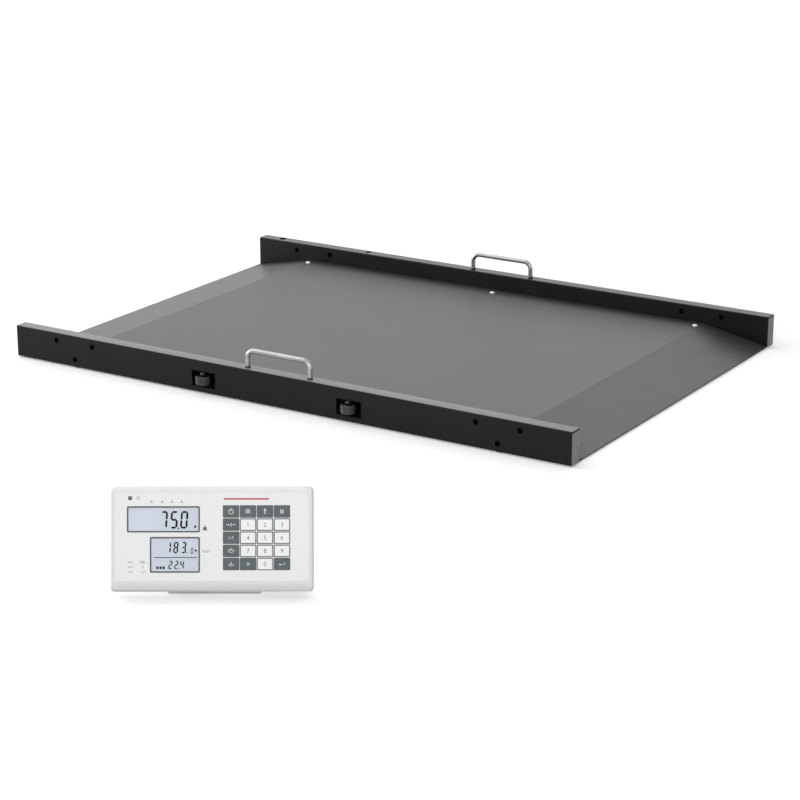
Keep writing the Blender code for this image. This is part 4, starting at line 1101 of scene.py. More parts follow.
@dataclass
class Wheel:
    """Transport wheel on its upright axle, in its fork.

    Attributes:
        end: Name of the platform's end.
        radius: Radius of the tread.
        width: Width of the wheel.
        bore: Radius of its bore.
        groove: Depth of the groove round the hub.
        corner: Radius of the tread's edges.
        rib_pitch: Distance between the tread's fine grooves.
        wall: Distance of the fork's lip from the rail's outer face.
        lip: Half the length of the lip.
        lip_foot: Height of the lip's lower edge.
        pin: Radius of the axle.
        nut: Radius of the domed nut on the axle.
    """

    end: str
    radius: float = 0.013
    width: float = 0.0155
    bore: float = 0.0033
    groove: float = 0.0012
    corner: float = 0.0018
    rib_pitch: float = 0.0026
    wall: float = 0.0024
    lip: float = 0.030
    lip_foot: float = 0.0045
    pin: float = 0.003
    nut: float = 0.0043

    def build(self) -> None:
        """Build the wheel, its fork with the lip behind the window's sill, and its axle."""
        self.tread(f"{self.end}_wheel")
        fork = f"{self.end}_wheel_fork"
        low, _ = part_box(fork)
        middle = centre(fork)[0]
        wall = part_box("near_rail")[0][1] + self.wall
        lip = Shape().block((middle - self.lip, wall, self.lip_foot),
                            (middle + self.lip, wall + 0.001, low[2] + 0.001))
        lip.softened(0.0002).piece(f"{fork}_lip", FORK_COAT, "platform", "black_paint")
        softened_node(fork, FORK_COAT, "black_paint", "platform", 0.0003)
        self.axle(f"{self.end}_wheel_axle")

    def tread(self, node: str) -> None:
        """Build the wheel.

        Args:
            node: CAD node of the wheel.
        """
        half, floor = self.width / 2, self.groove - self.width / 2
        low, face = -half + self.corner, self.radius - self.corner
        profile = [(self.bore, -half), (0.0062, -half), (0.0066, floor), (0.0108, floor),
                   (0.0112, -half), (face, -half)]
        for turn in (QUARTER * step / 4 for step in range(1, 5)):
            profile.append((face + self.corner * math.sin(turn),
                            low - self.corner * math.cos(turn)))
        upper = [(radius, -height) for radius, height in reversed(profile)]
        ribs = [(self.radius - sunk, rib * self.rib_pitch + step) for rib in (-1.5, -0.5, 0.5, 1.5)
                for sunk, step in ((0, -0.0004), (0.0004, -0.0002), (0.0004, 0.0002), (0, 0.0004))]
        shape = Shape().turned(profile + ribs + upper + profile[:1],
                               Matrix.Translation(centre(node)))
        shape.piece(f"{node}_tread", WHEEL_RUBBER, node, "wheel_rubber", node)

    def axle(self, node: str) -> None:
        """Build the axle with its rounded foot and its nut.

        Args:
            node: CAD node of the axle.
        """
        low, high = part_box(node)
        half = (high[2] - low[2]) / 2
        seat = half - 0.0014
        profile = [(0.0, -half), (0.0022, -half), (self.pin, -half + 0.0008), (self.pin, seat),
                   (self.nut, seat), (self.nut, seat + 0.0018),
                   *dome(self.nut, seat + 0.0018, 0.0022, 4)]
        Shape().turned(profile, Matrix.Translation(centre(node))).piece(
            f"{node}_pin", AXLE_STEEL, "platform", "bare_steel", node)


@dataclass
class Socket:
    """Round socket with its pins, at a place on a wall.

    Attributes:
        node: CAD node of the socket.
        body: CAD body that it belongs to.
        place: Where it stands, with +Z out of the wall.
        flange: Radius of the flange.
        flange_top: Height of the flange.
        barrel: Radius of the barrel.
        reach: How far the barrel stands out.
        well: Radius of the well.
        well_depth: Depth of the well.
        tail: Radius of the part in the wall.
        groove: Depth of a groove round the barrel.
        groove_pitch: Distance between the grooves.
        grooves: Number of grooves.
        pins: Number of pins.
        pin_ring: Radius of the circle on which the pins stand.
        pin: Profile of a pin.
    """

    node: str
    body: str
    place: Matrix
    flange: float = 0.0115
    flange_top: float = 0.0023
    barrel: float = 0.009
    reach: float = 0.009
    well: float = 0.0075
    well_depth: float = 0.0075
    tail: float = 0.007
    groove: float = 0.0004
    groove_pitch: float = 0.0013
    grooves: int = 4
    pins: int = 5
    pin_ring: float = 0.0042
    pin: Outline = ((0.0, 0.0), (0.0006, 0.0), (0.0006, 0.0050), (0.0003, 0.0056), (0.0, 0.0058))

    def build(self) -> None:
        """Build the shell with the grooves round its barrel, and its pins."""
        floor = self.reach - self.well_depth
        profile = [(0.0, -0.008), (self.tail, -0.008), (self.tail, 0.0003), (self.flange, 0.0003),
                   (self.flange, self.flange_top - 0.0004), (self.flange - 0.0004, self.flange_top),
                   (self.barrel, self.flange_top)]
        for number in range(self.grooves):
            height = 0.0030 + number * self.groove_pitch
            profile += [(self.barrel - sunk, height + step) for sunk, step in
                        ((0, 0), (self.groove, 0.0003), (self.groove, 0.0006), (0, 0.0009))]
        profile += [(self.barrel, self.reach - 0.0003), (self.barrel - 0.0003, self.reach),
                    (self.well + 0.0003, self.reach), (self.well, self.reach - 0.0003),
                    (self.well, floor), (0.0, floor)]
        Shape().turned(profile, self.place).piece(
            f"{self.node}_shell", BLACK_MOULDED, self.body, "black_plastic", self.node)
        pins = Shape()
        for number in range(self.pins):
            turn = 4 * QUARTER * number / self.pins
            spot = (self.pin_ring * math.cos(turn), self.pin_ring * math.sin(turn), floor - 0.001)
            pins.turned(self.pin, self.place @ Matrix.Translation(spot), 16)
        pins.piece(f"{self.node}_pins", SCREW_STEEL, self.body, "bare_steel")


@dataclass
class Platform:
    """The platform and everything on it.

    Attributes:
        plug_depth: Depth of the closed holes in the far rail's top.
        plugs: Place along the rail, distance from its outer face and radius of each plug.
    """

    plug_depth: float = 0.0012
    plugs: tuple[Point, ...] = ((-0.548, 0.012, 0.008), (-0.327, 0.012, 0.0065))

    def build(self) -> None:
        """Build every piece of the platform."""
        Rail("near", -1, LIT_NEAR_COAT).build()
        Rail("far", 1, SHADED_FAR_COAT).build()
        Deck().build()
        for corner in ("near_left", "near_right", "far_left", "far_right"):
            Foot(f"foot_{corner}").build()
            dressed(f"load_cell_{corner}", MILLED)
        for end in ("left", "right"):
            Wheel(end).build()
        _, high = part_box("far_rail")
        self.top_plugs(high)
        place = Axis.FAR.at(0.0, high[1], centre("signal_socket")[2])
        Socket("signal_socket", "platform", place).build()

    def top_plugs(self, corner: Sequence[float]) -> None:
        """Build the two black plugs in the far rail's top.

        Args:
            corner: The rail's highest corner.
        """
        shape = Shape()
        for x, inset, radius in self.plugs:
            skirt = radius - 0.0003
            shape.turned(((0.0, 0.0001), (skirt, 0.0001), (skirt, 0.0010),
                          (radius - 0.0009, 0.0014), (radius * 0.6, 0.0013),
                          (radius * 0.55, 0.0009), (0.0, 0.0009)),
                         Matrix.Translation((x, corner[1] - inset, corner[2] - self.plug_depth)))
        shape.piece("far_rail_plugs", PLUG_BLACK, "platform", "black_plastic")


LEAN = math.radians(18.1)
FACE_AHEAD = 0.058
FACE_RISE = 0.020
WEIGHT_WINDOW = (-0.1208, -0.0166, 0.0100, 0.0474)
HEIGHT_WINDOW = (-0.0881, -0.0166, -0.0475, 0.0036)


def head_frame() -> Matrix:
    """Find how the indicator's head stands at rest.

    Returns:
        Its frame, with right, back and up from the pivot.
    """
    tilt = next(joint for joint in frame["joints"] if joint["name"] == "display_tilt")
    right = Vector(tilt["axis"]).normalized()
    level = Vector((-right.y, right.x, 0.0))
    back = level * math.cos(LEAN) - Vector((0.0, 0.0, math.sin(LEAN)))
    turn = Matrix((right, back, right.cross(back))).transposed().to_4x4()
    return Matrix.Translation(tilt["pos_m"]) @ turn


HEAD = head_frame()


def on_face(x: float = 0.0, depth: float = 0.0, z: float = 0.0) -> Matrix:
    """The matrix that brings a shape to a place across, behind and up from the face's middle."""
    return HEAD @ Matrix.Translation((x, depth - FACE_AHEAD, FACE_RISE + z))


@dataclass
class Print:
    """Flat print on the indicator's face, raised by a hair.

    Attributes:
        depth: Depth of the surface that it lies on, behind the face.
        lift: How far the print stands off that surface.
        shape: What is printed, in X and Z about the face's middle.
    """

    depth: float
    lift: float = 0.00004
    shape: Shape = field(default_factory=Shape)

    def lay(self, flat: Mesh, x: float, z: float, slope: float = 0.0) -> None:
        """Stand a mesh drawn in X and Y up on the face.

        Args:
            flat: The mesh.
            x: Its place across the face.
            z: Its place up the face.
            slope: How far it is turned on the face.
        """
        place = Matrix.Translation((x, 0.0, z)) @ Matrix.Rotation(-slope, 4, "Y") @ Axis.NEAR.value
        bmesh.ops.transform(flat, matrix=place, verts=flat.verts)
        self.shape.take(flat)

    def strip(self, start: Sequence[float], end: Sequence[float], width: float) -> None:
        """Draw a straight bar with pointed ends, as a display's segment or a line of a sign.

        Args:
            start: Middle of one end.
            end: Middle of the other end.
            width: Width of the bar.
        """
        across, up = end[0] - start[0], end[1] - start[1]
        bar = bmesh.new()
        bmesh.ops.create_circle(bar, cap_ends=True, segments=6, radius=width)
        for vert in bar.verts:
            side = round(vert.co.x / width)
            along = (math.hypot(across, up) - abs(side) * width) / 2
            vert.co = (math.copysign(along, vert.co.y), -side * width / 2, 0.0)
        self.lay(bar, (start[0] + end[0]) / 2, (start[1] + end[1]) / 2, math.atan2(up, across))

    def outline(self, points: Outline) -> None:
        """Draw a flat face that looks at the reader.

        Args:
            points: Its outline.
        """
        flat = bmesh.new()
        face = flat.faces.new([flat.verts.new((across, 0.0, up)) for across, up in points])
        face.normal_update()
        if face.normal.y > 0:
            bmesh.ops.reverse_faces(flat, faces=[face])
        self.shape.take(flat)

    def bar(self, left: float, right: float, low: float, high: float) -> None:
        """Draw a plain rectangle."""
        self.outline(((left, low), (right, low), (right, high), (left, high)))

    def disc(self, x: float, z: float, radius: float, hole: float = 0.0) -> None:
        """Draw a disc, or a ring where it has a hole.

        Args:
            x: Place of its middle across the face.
            z: Place of its middle up the face.
            radius: Outer radius.
            hole: Radius of the hole.
        """
        ring = bmesh.new()
        bmesh.ops.create_circle(ring, segments=32, radius=radius, cap_ends=not hole)
        if hole:
            out = bmesh.ops.extrude_edge_only(ring, edges=ring.edges[:])["geom"]
            bmesh.ops.scale(ring, verts=points_in(out), vec=(hole / radius, hole / radius, 1))
        self.lay(ring, x, z)

    def words(self, text: str, x: float, z: float, size: float) -> None:
        """Print upright figures.

        Args:
            text: The figures.
            x: Place of their middle across the face.
            z: Place of their middle up the face.
            size: Size of the type.
        """
        curve = bpy.data.curves.new("figures", "FONT")
        curve.body, curve.size, curve.resolution_u = text, size, 4
        curve.align_x = curve.align_y = "CENTER"
        held = placed("figures", curve)
        evaluated = held.evaluated_get(bpy.context.evaluated_depsgraph_get())
        mesh = bpy.data.meshes.new_from_object(evaluated)
        bpy.data.objects.remove(held)
        flat = bmesh.new()
        flat.from_mesh(mesh)
        bpy.data.meshes.remove(mesh)
        middle = [(min(axis) + max(axis)) / 2 for axis in zip(*(vert.co for vert in flat.verts))]
        bmesh.ops.translate(flat, verts=flat.verts, vec=-Vector(middle))
        self.lay(flat, x, z)

    def piece(self, name: str, ink: Finish, body: str, slot: str) -> None:
        """Finish the print as a piece that rides on a body."""
        self.shape.moved(on_face(depth=self.depth - self.lift))
        self.shape.piece(name, ink, body, slot, smooth=False)


@dataclass
class SegmentDigit:
    """Figure made of seven slanted bars.

    Attributes:
        width: Distance between the upright bars' middles.
        height: Distance between the top and bottom bars' middles.
        bar: Width of the bars.
        slant: How far the top leans to the right, as a share of the height.
        gap: How far a bar stops short of its corner.
    """

    width: float
    height: float
    bar: float
    slant: float = 0.08
    gap: float = 0.00012

    LIT = {"0": "abcdef", "1": "bc", "2": "abdeg", "3": "abcdg", "4": "bcfg", "5": "acdfg",
           "7": "abc", "8": "abcdefg"}

    def draw(self, page: Print, low: float, *figures: tuple[str, float]) -> None:
        """Draw figures on a page.

        Args:
            page: The page.
            low: Height of their feet.
            *figures: Each figure and the left side of its foot.
        """
        z0, z2 = low + self.bar / 2, low + self.bar / 2 + self.height
        z1 = (z0 + z2) / 2
        for figure, left in figures:
            x0, x1 = left + self.bar / 2, left + self.bar / 2 + self.width
            ends = {"a": ((x0, z2), (x1, z2)), "b": ((x1, z1), (x1, z2)),
                    "c": ((x1, z0), (x1, z1)), "d": ((x0, z0), (x1, z0)),
                    "e": ((x0, z0), (x0, z1)), "f": ((x0, z1), (x0, z2)),
                    "g": ((x0, z1), (x1, z1))}
            for letter in self.LIT[figure]:
                start, end = (Vector((x + (z - low) * self.slant, z)) for x, z in ends[letter])
                short = (end - start).normalized() * self.gap
                page.strip(start + short, end - short, self.bar)


@dataclass
class Display:
    """Liquid crystal display with its bezel.

    Attributes:
        node: CAD node of the display.
        sides: Its sides on the face.
        gap: Gap round the bezel.
        rim: Width of the bezel.
        corner: Radius of its corners.
        window_corner: Radius of the bezel's inner corners.
        recess: Depth of the crystal behind the bezel.
        back: Depth of the crystal's back.
    """

    node: str
    sides: Sides
    gap: float = 0.0003
    rim: float = 0.0021
    corner: float = 0.0022
    window_corner: float = 0.0012
    recess: float = 0.0008
    back: float = 0.0110

    def build(self) -> Print:
        """Build the bezel and the crystal.

        Returns:
            The page for what the display shows.
        """
        window = Shape().prism(rounded(shrunk(self.sides, self.rim), self.window_corner),
                               -0.002, 0.005)
        bezel = Shape().prism(rounded(shrunk(self.sides, self.gap), self.corner), -0.0001, 0.0030)
        bezel.carved(window).softened(0.0002).moved(on_face()).piece(
            f"{self.node}_bezel", BEZEL, "display_head", "display_glass")
        crystal = Shape().prism(rounded(shrunk(self.sides, self.gap * 3), self.corner),
                                self.recess, self.back)
        crystal.moved(on_face()).piece(
            f"{self.node}_crystal", CRYSTAL, "display_head", "display_glass", self.node)
        return Print(self.recess)


@dataclass(frozen=True)
class Sign:
    """Plain sign of a key, in millimetres from the key's middle.

    Attributes:
        text: Figures.
        size: Size of the figures.
        disc: Place and radius of a disc, and the radius of its hole.
        bars: Sides of each rectangle.
        lines: Both ends of each line.
    """

    text: str = ""
    size: float = 8.6
    disc: tuple[float, ...] = ()
    bars: tuple[Sides, ...] = ()
    lines: tuple[Sides, ...] = ()


class Symbol(Enum):
    """Signs of the keys that have no digit."""

    POWER = Sign(disc=(0, -0.3, 3.7, 2.9), lines=((0, 0.2, 0, 5.2),))
    SHEET = Sign(lines=((-3, -2, 3, -2), (3, -2, 3, 1), (-3, 1, 3, 1), (-3, -2, -3, 1),
                        (-2, 1, -2, 3.2), (2, 1, 2, 3.2), (-2, 3.2, 2, 3.2),
                        (-1.6, -0.6, 1.6, -0.6)))
    FIGURE = Sign(disc=(0, 2.6, 1.3),
                  lines=((0, 1, 0, -1), (-2, 0.8, 2, 0.8), (0, -1, -1.4, -3.6),
                         (0, -1, 1.4, -3.6)))
    PAUSE = Sign(bars=((-2.2, -0.8, -2.8, 2.8), (0.8, 2.2, -2.8, 2.8)))
    CENTRE = Sign("0", 6.6, lines=((-7, 0, -3.4, 0), (-4.6, 1.2, -3.4, 0), (-4.6, -1.2, -3.4, 0),
                                   (7, 0, 3.4, 0), (4.6, 1.2, 3.4, 0), (4.6, -1.2, 3.4, 0)))
    STORE = Sign("1-5", 6.2)
    PAN = Sign(disc=(0, 2.9, 0.8), lines=((-4, 1.4, 4, 1.4), (-4, 1.4, -2.6, -2),
                                          (4, 1.4, 2.6, -2), (-2.6, -2, 2.6, -2)))
    PAN_ARROW = Sign(lines=((-4, 0.4, -2.6, -2.6), (4, 0.4, 2.6, -2.6), (-2.6, -2.6, 2.6, -2.6),
                            (0, 3.6, 0, -0.8), (-1.3, 0.6, 0, -0.8), (1.3, 0.6, 0, -0.8)))
    CROSS = Sign(lines=((-2.2, -2.2, 2.2, 2.2), (-2.2, 2.2, 2.2, -2.2)))
    RETURN = Sign(lines=((4, 2.4, 4, -0.6), (4, -0.6, -4, -0.6), (-4, -0.6, -2.4, 1),
                         (-4, -0.6, -2.4, -2.2)))


@dataclass
class Key:
    """One key with its sign. A key with a digit is light and has a dark edge.

    Attributes:
        name: CAD node and body of the key.
        x: Place of its middle across the face.
        z: Place of its middle up the face.
        sign: Digit or symbol on it.
        width: Width of the key.
        height: Height of the key.
        edge: Width of the dark edge.
        corner: Radius of the corners.
        proud: How far it stands out of the face.
        depth: Depth of the key.
        line: Width of a symbol's lines.
    """

    name: str
    x: float
    z: float
    sign: str | Symbol
    width: float = 0.0226
    height: float = 0.0169
    edge: float = 0.0010
    corner: float = 0.0008
    proud: float = 0.0004
    depth: float = 0.006
    line: float = 0.0007

    def sides(self, grown: float = 0.0) -> Sides:
        """Sides of the key on the face, moved outwards by a distance."""
        across, up = self.width / 2 + grown, self.height / 2 + grown
        return self.x - across, self.x + across, self.z - up, self.z + up

    def build(self) -> None:
        """Build the key and print its sign."""
        light = isinstance(self.sign, str)
        slot, ink = ("light_key", GREY_INK) if light else ("dark_key", WHITE_INK)
        cap = Shape().prism(rounded(self.sides(), self.corner, 4), -self.proud,
                            self.depth - self.proud).softened(0.0002)
        if light:
            self.edged(cap)
        cap.moved(on_face()).piece(
            f"{self.name}_cap", KEY_DARK, self.name, slot, self.name, more=(KEY_LIGHT,))
        page = Print(-self.proud)
        self.draw(page, Sign(self.sign) if light else self.sign.value)
        page.piece(f"{self.name}_sign", ink, self.name, slot)

    def edged(self, cap: Shape) -> None:
        """Give the front, the one large face, a light middle inside the dark edge.

        Args:
            cap: The key's shape.
        """
        front = [face for face in cap.bm.faces
                 if face.normal.y < -0.99 and face.calc_area() > self.width * self.height / 2]
        bmesh.ops.inset_region(cap.bm, faces=front, thickness=self.corner / 2,
                               use_even_offset=True)
        left, right, low, high = self.sides(-self.edge)
        for vert in {vert for face in front for vert in face.verts}:
            vert.co.x = min(max(vert.co.x, left), right)
            vert.co.z = min(max(vert.co.z, low), high)
        for face in front:
            face.material_index = 1

    def draw(self, page: Print, sign: Sign) -> None:
        """Draw a sign about the key's middle.

        Args:
            page: The page.
            sign: The sign.
        """
        if sign.text:
            page.words(sign.text, self.x, self.z, sign.size * MILLI)
        if sign.disc:
            x, z, *radii = (value * MILLI for value in sign.disc)
            page.disc(self.x + x, self.z + z, *radii)
        for left, right, low, high in sign.bars:
            page.bar(self.x + left * MILLI, self.x + right * MILLI,
                     self.z + low * MILLI, self.z + high * MILLI)
        for x0, z0, x1, z1 in sign.lines:
            page.strip((self.x + x0 * MILLI, self.z + z0 * MILLI),
                       (self.x + x1 * MILLI, self.z + z1 * MILLI), self.line)


@dataclass
class Keypad:
    """Twenty keys in five rows.

    Attributes:
        left: Place of the first column's middle.
        top: Place of the first row's middle.
        pitch_x: Distance between columns.
        pitch_z: Distance between rows.
    """

    left: float = 0.0278
    top: float = 0.0398
    pitch_x: float = 0.0242
    pitch_z: float = 0.01874

    ROWS = (
        (("power", Symbol.POWER), ("printer", Symbol.SHEET), ("body_index", Symbol.FIGURE),
         ("hold", Symbol.PAUSE)),
        (("zero", Symbol.CENTRE), ("1", "1"), ("2", "2"), ("3", "3")),
        (("memory", Symbol.STORE), ("4", "4"), ("5", "5"), ("6", "6")),
        (("preset", Symbol.PAN), ("7", "7"), ("8", "8"), ("9", "9")),
        (("tare", Symbol.PAN_ARROW), ("clear", Symbol.CROSS), ("0", "0"),
         ("enter", Symbol.RETURN)),
    )

    def keys(self) -> list[Key]:
        """Lay out the keys.

        Returns:
            All keys, row by row.
        """
        return [Key(f"key_{name}", self.left + column * self.pitch_x,
                    self.top - row * self.pitch_z, sign)
                for row, names in enumerate(self.ROWS)
                for column, (name, sign) in enumerate(names)]

    def build(self) -> None:
        """Build every key."""
        for key in self.keys():
            key.build()


@dataclass
class Indicator:
    """The indicator: housing, label, displays, keypad and stand.

    Attributes:
        label: Sides of the label on the face.
        label_depth: Depth of the label's back behind the face.
        label_gap: Gap round the label.
        key_gap: Gap between a key and its opening in the label.
        light: Place of the power light.
        light_radius: Radius of its lens.
        knob_start: Distance of a knob's inner face from the middle.
        knob_radius: Radius of a clamp knob.
        knob_width: Width of a clamp knob.
        flutes: Flutes round a knob.
        flute: Depth of a flute, as a share of the radius.
        post: Place of the housing screws across and up the face.
        shell: Depth of the housing.
        socket: Place of the socket across and up the face.
        light_ring: Profile of the ring round the power light.
        case_screw: Profile of a housing screw.
    """

    label: Sides = (-0.1394, 0.1390, -0.0603, 0.0679)
    label_depth: float = 0.0006
    label_gap: float = 0.0003
    key_gap: float = 0.0004
    light: Spot = (-0.1161, 0.0590)
    light_radius: float = 0.0016
    knob_start: float = 0.0671
    knob_radius: float = 0.013
    knob_width: float = 0.014
    flutes: int = 12
    flute: float = 0.05
    post: Spot = (0.128, 0.055)
    shell: float = 0.040
    socket: Spot = (0.105, -0.035)
    light_ring: Outline = ((0.0019, -0.002), (0.0030, 0.00005), (0.0030, 0.0003),
                           (0.0026, 0.0005), (0.0021, 0.0004), (0.0019, 0.0), (0.0019, -0.002))
    case_screw: Outline = ((0.0, -0.012), (0.0012, -0.012), (0.0012, -0.0030), (0.0017, -0.0028),
                           (0.0017, -0.0012), (0.0014, -0.0009), (0.0007, -0.0009),
                           (0.0005, -0.0016), (0.0, -0.0016))

    def build(self) -> None:
        """Build every piece of the indicator."""
        for half in ("front_housing", "rear_housing"):
            softened_node(half, WHITE_MOULDED, "white_plastic", "display_head", 0.0004)
        softened_node("battery_cover", WHITE_MOULDED, "white_plastic", "battery_cover", 0.0003)
        softened_node("stand_bracket", WHITE_COAT, "white_paint", "platform", 0.0004)
        dressed("main_board", BOARD)
        dressed("battery_pack", PACK_SLEEVE)
        self.face_label()
        self.power_light()
        self.weight_side()
        self.height_side()
        self.marks()
        Keypad().build()
        self.knobs()
        self.case_screws()
        place = on_face(self.socket[0], self.shell, self.socket[1]) @ Axis.FAR.value
        Socket("display_socket", "display_head", place).build()

    def face_label(self) -> None:
        """Build the printed plate with its rounded openings."""
        tool = Shape()
        for window in (WEIGHT_WINDOW, HEIGHT_WINDOW):
            tool.prism(rounded(window, 0.0024), -0.002, 0.002)
        for key in Keypad().keys():
            tool.prism(rounded(key.sides(self.key_gap), 0.0013, 4), -0.002, 0.002)
        tool.turned(((0.0, 0.0), (0.0022, 0.0), (0.0022, 0.004), (0.0, 0.004)),
                    Axis.NEAR.at(self.light[0], 0.002, self.light[1]), 32)
        plate = Shape().prism(rounded(shrunk(self.label, self.label_gap), 0.0020), 0.0,
                              self.label_depth)
        plate.carved(tool).softened(0.0001, 1).moved(on_face()).piece(
            "front_label_plate", LABEL_FILM, "display_head", "label_film", "front_label")

    def power_light(self) -> None:
        """Build the ring and the lens of the power light."""
        place = Axis.NEAR.at(self.light[0], 0.0, self.light[1])
        ring = Shape().turned(self.light_ring, place).moved(on_face())
        ring.piece("power_light_ring", BEZEL, "display_head", "black_plastic")
        profile = [(0.0, -0.001), (self.light_radius, -0.001), (self.light_radius, 0.0),
                   *dome(self.light_radius, 0.0, 0.0004, 5)]
        lens = Shape().turned(profile, place).moved(on_face())
        lens.piece("power_light_lens", LENS, "display_head", "dark_key")

    def weight_side(self) -> None:
        """Build the weight display and its figures."""
        page = Display("weight_display", WEIGHT_WINDOW).build()
        SegmentDigit(0.00776, 0.0223, 0.0028).draw(
            page, 0.0154, ("7", -0.0744), ("5", -0.0597), ("0", -0.0454))
        page.disc(-0.0473, 0.0157, 0.0012)
        page.outline(((-0.0247, 0.0156), (-0.0211, 0.0182), (-0.0247, 0.0208)))
        page.piece("weight_figures", SEGMENT, "display_head", "display_glass")

    def height_side(self) -> None:
        """Build the height display and its figures."""
        page = Display("height_display", HEIGHT_WINDOW).build()
        SegmentDigit(0.00486, 0.0143, 0.0021).draw(
            page, -0.0197, ("1", -0.0656), ("8", -0.0551), ("3", -0.0439))
        page.disc(-0.0355, -0.0189, 0.0009)
        SegmentDigit(0.0024, 0.0077, 0.0011).draw(page, -0.0206, ("0", -0.0302))
        page.outline(((-0.0237, -0.0186), (-0.0203, -0.0161), (-0.0237, -0.0136)))
        page.bar(-0.0828, -0.0203, -0.0262, -0.0252)
        SegmentDigit(0.0038, 0.0106, 0.0017).draw(
            page, -0.0426, ("2", -0.0620), ("2", -0.0536), ("4", -0.0455))
        page.disc(-0.0464, -0.0419, 0.0008)
        for left in (-0.0790, -0.0745, -0.0700):
            page.bar(left, left + 0.0030, -0.0423, -0.0385)
        page.piece("height_figures", SEGMENT, "display_head", "display_glass")

    def marks(self) -> None:
        """Print the small signs beside the displays and the red line."""
        page = Print(0.0)
        page.disc(-0.1045, 0.0590, 0.0021, 0.0016)
        page.strip((-0.1045, 0.0590), (-0.1045, 0.0616), 0.0005)
        for x in (-0.0855, -0.0702, -0.0565, -0.0425):
            page.strip((x - 0.0032, 0.0530), (x + 0.0032, 0.0530), 0.0005)
            page.disc(x, 0.0547, 0.0009)
        page.outline(((-0.0128, 0.0128), (-0.0062, 0.0128), (-0.0074, 0.0178), (-0.0116, 0.0178)))
        page.disc(-0.0095, 0.0190, 0.0016, 0.0010)
        page.bar(-0.0134, -0.0034, -0.0182, -0.0176)
        for tick in range(6):
            x = -0.0132 + tick * 0.0019
            page.bar(x, x + 0.0004, -0.0182, -0.0150 if tick % 5 else -0.0136)
        for row, figures in enumerate(("300", "2", "0.1")):
            z = -0.0323 - row * 0.0070
            page.words(figures, -0.0990 + 0.0008 * row, z, 0.0052)
            page.strip((-0.1200, z), (-0.1120, z), 0.0008)
        page.piece("face_marks", GREY_INK, "display_head", "dark_key")
        page = Print(0.0)
        page.outline(rounded((0.0172, 0.0819, 0.0566, 0.0588), 0.0010))
        page.piece("red_line", RED_INK, "display_head", "dark_key")

    def knobs(self) -> None:
        """Build the two fluted clamp knobs with their shanks."""
        start, shank = self.knob_start, self.knob_start - 0.012
        for way, name in ((-1, "left_knob"), (1, "right_knob")):
            grip = bmesh.new()
            bmesh.ops.create_cone(grip, cap_ends=True, segments=FINE, radius1=self.knob_radius,
                                  radius2=self.knob_radius, depth=self.knob_width,
                                  matrix=Matrix.Translation((0, 0, start + self.knob_width / 2)))
            for vert in grip.verts:
                turn = math.atan2(vert.co.y, vert.co.x)
                inward = 1.0 - self.flute * (0.5 + 0.5 * math.cos(turn * self.flutes))
                vert.co.x *= inward
                vert.co.y *= inward
            shape = Shape().take(grip).softened(0.0010, 3)
            shape.turned(((0.0, shank), (0.0024, shank), (0.0030, shank + 0.0006),
                          (0.0030, start + 0.001), (0.0, start + 0.001)))
            shape.moved(HEAD @ Matrix.Rotation(way * QUARTER, 4, "Y")).piece(
                f"{name}_grip", BLACK_MOULDED, name, "black_plastic", name)

    def case_screws(self) -> None:
        """Build the four screws that close the housing from behind."""
        shape = Shape()
        across, up = self.post
        for x in (-across, across):
            for z in (-up, up):
                place = on_face(x, self.shell, z) @ Axis.FAR.value
                shape.turned(self.case_screw, place, 24)
        shape.piece("case_screws", SCREW_STEEL, "display_head", "bare_steel")


@dataclass(frozen=True)
class Lamp:
    """Soft lamp that the camera doesn't see.

    Attributes:
        name: Its name.
        spot: Its place.
        aim: Place that it points at.
        size: Width and height of its face.
        power: Power in watts.
    """

    name: str
    spot: Point
    aim: Point
    size: Spot
    power: float

    def build(self) -> None:
        """Place the lamp."""
        lamp = bpy.data.lights.new(self.name, "AREA")
        lamp.shape = "RECTANGLE"
        lamp.size, lamp.size_y = self.size
        lamp.energy = self.power
        turn = (Vector(self.spot) - Vector(self.aim)).to_track_quat("Z", "Y")
        held = placed(self.name, lamp)
        held.matrix_world = Matrix.Translation(self.spot) @ turn.to_matrix().to_4x4()
        held.visible_camera = False


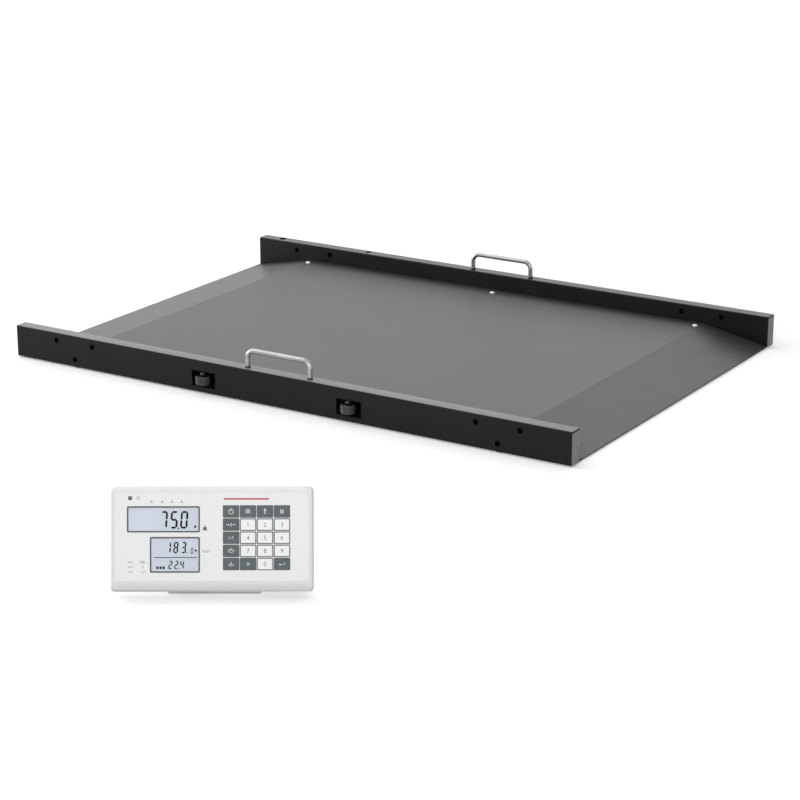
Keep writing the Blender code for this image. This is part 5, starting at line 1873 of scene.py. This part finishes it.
@dataclass
class Studio:
    """Floor, light and camera.

    Attributes:
        spot: Place of the camera.
        turn: How far it looks to the left of +Y.
        dip: How far it looks down.
        roll: How far it is rolled.
        lens: Focal length in millimetres.
        sensor: Width of the sensor in millimetres.
        floor_half: Half the side of the floor.
        floor_drop: How far the floor lies under the feet.
        lamps: The lamps.
    """

    spot: Point = (2.3138, -3.277033, 1.3267)
    turn: float = math.radians(31.979)
    dip: float = math.radians(18.104)
    roll: float = math.radians(-0.057)
    lens: float = 106.31
    sensor: float = 36.0
    floor_half: float = 40.0
    floor_drop: float = 0.0004
    lamps: tuple[Lamp, ...] = (
        Lamp("high_lamp", (-3.0, -0.4, 2.8), (0.0, 0.3, 0.0), (5.0, 5.0), 75.0),
        Lamp("back_lamp", (-2.6, 4.3, 1.9), (0.0, 0.4, 0.0), (6.0, 3.0), 38.0),
        Lamp("left_lamp", (-3.5, -0.8, 0.3), (-0.1, 0.0, 0.03), (0.9, 0.5), 60.0),
        Lamp("front_lamp", (1.3, -1.9, 1.0), (0.4, -0.7, 0.1), (1.3, 1.3), 14.0),
    )

    def build(self) -> None:
        """Build the floor, the light and the camera."""
        self.floor()
        self.surround()
        for lamp in self.lamps:
            lamp.build()
        self.camera()

    def floor(self) -> None:
        """Lay the pale floor, which looks white where no shadow falls."""
        bm = bmesh.new()
        bmesh.ops.create_grid(bm, x_segments=1, y_segments=1, size=self.floor_half)
        mesh = bpy.data.meshes.new("floor")
        bm.to_mesh(mesh)
        bm.free()
        floor = placed("floor", mesh)
        floor.location.z = -self.floor_drop
        graph = Graph("pale_floor")
        rays = graph.node("ShaderNodeLightPath").outputs
        seen = rays["Is Camera Ray"]
        mirrored = graph.mixed(rays["Is Glossy Ray"], grey(0.42), grey(0.90))
        graph.set(Base_Color=graph.mixed(seen, mirrored, grey(0.93)), Emission_Color=grey(1.0),
                  Emission_Strength=graph.maths("MULTIPLY", seen, 0.25), Roughness=0.9,
                  Specular_IOR_Level=0.0)
        mesh.materials.append(graph.material)

    def surround(self) -> None:
        """Light the scene from all sides, and show the camera and reflections pure white."""
        world = bpy.data.worlds.new("white_surround")
        world.use_nodes = True
        nodes = world.node_tree.nodes
        ground = nodes["Background"]
        ground.inputs["Color"].default_value = (1.0, 1.0, 1.0, 1.0)
        ground.inputs["Strength"].default_value = 0.60
        shown = nodes.new("ShaderNodeBackground")
        shown.inputs["Strength"].default_value = 1.0
        rays = nodes.new("ShaderNodeLightPath").outputs
        either = nodes.new("ShaderNodeMath")
        either.operation = "MAXIMUM"
        mix = nodes.new("ShaderNodeMixShader")
        for output, socket in ((rays["Is Camera Ray"], either.inputs[0]),
                               (rays["Is Glossy Ray"], either.inputs[1]),
                               (either.outputs[0], mix.inputs[0]),
                               (ground.outputs[0], mix.inputs[1]),
                               (shown.outputs[0], mix.inputs[2]),
                               (mix.outputs[0], nodes["World Output"].inputs[0])):
            world.node_tree.links.new(output, socket)
        bpy.context.scene.world = world

    def camera(self) -> None:
        """Set the camera at the photograph's viewpoint."""
        data = bpy.data.cameras.new("camera")
        data.lens = self.lens
        data.sensor_width = self.sensor
        turn = Matrix.Rotation(self.turn, 4, "Z") @ Matrix.Rotation(QUARTER - self.dip, 4, "X")
        camera = placed("camera", data)
        camera.matrix_world = (Matrix.Translation(self.spot) @ turn
                               @ Matrix.Rotation(self.roll, 4, "Z"))
        bpy.context.scene.camera = camera


def main() -> None:
    """Build the object and the studio."""
    logging.basicConfig(level=logging.INFO, format="%(message)s")
    bpy.context.scene.view_settings.view_transform = "Standard"
    Studio().build()
    Platform().build()
    Indicator().build()


if __name__ == "__main__":
    main()
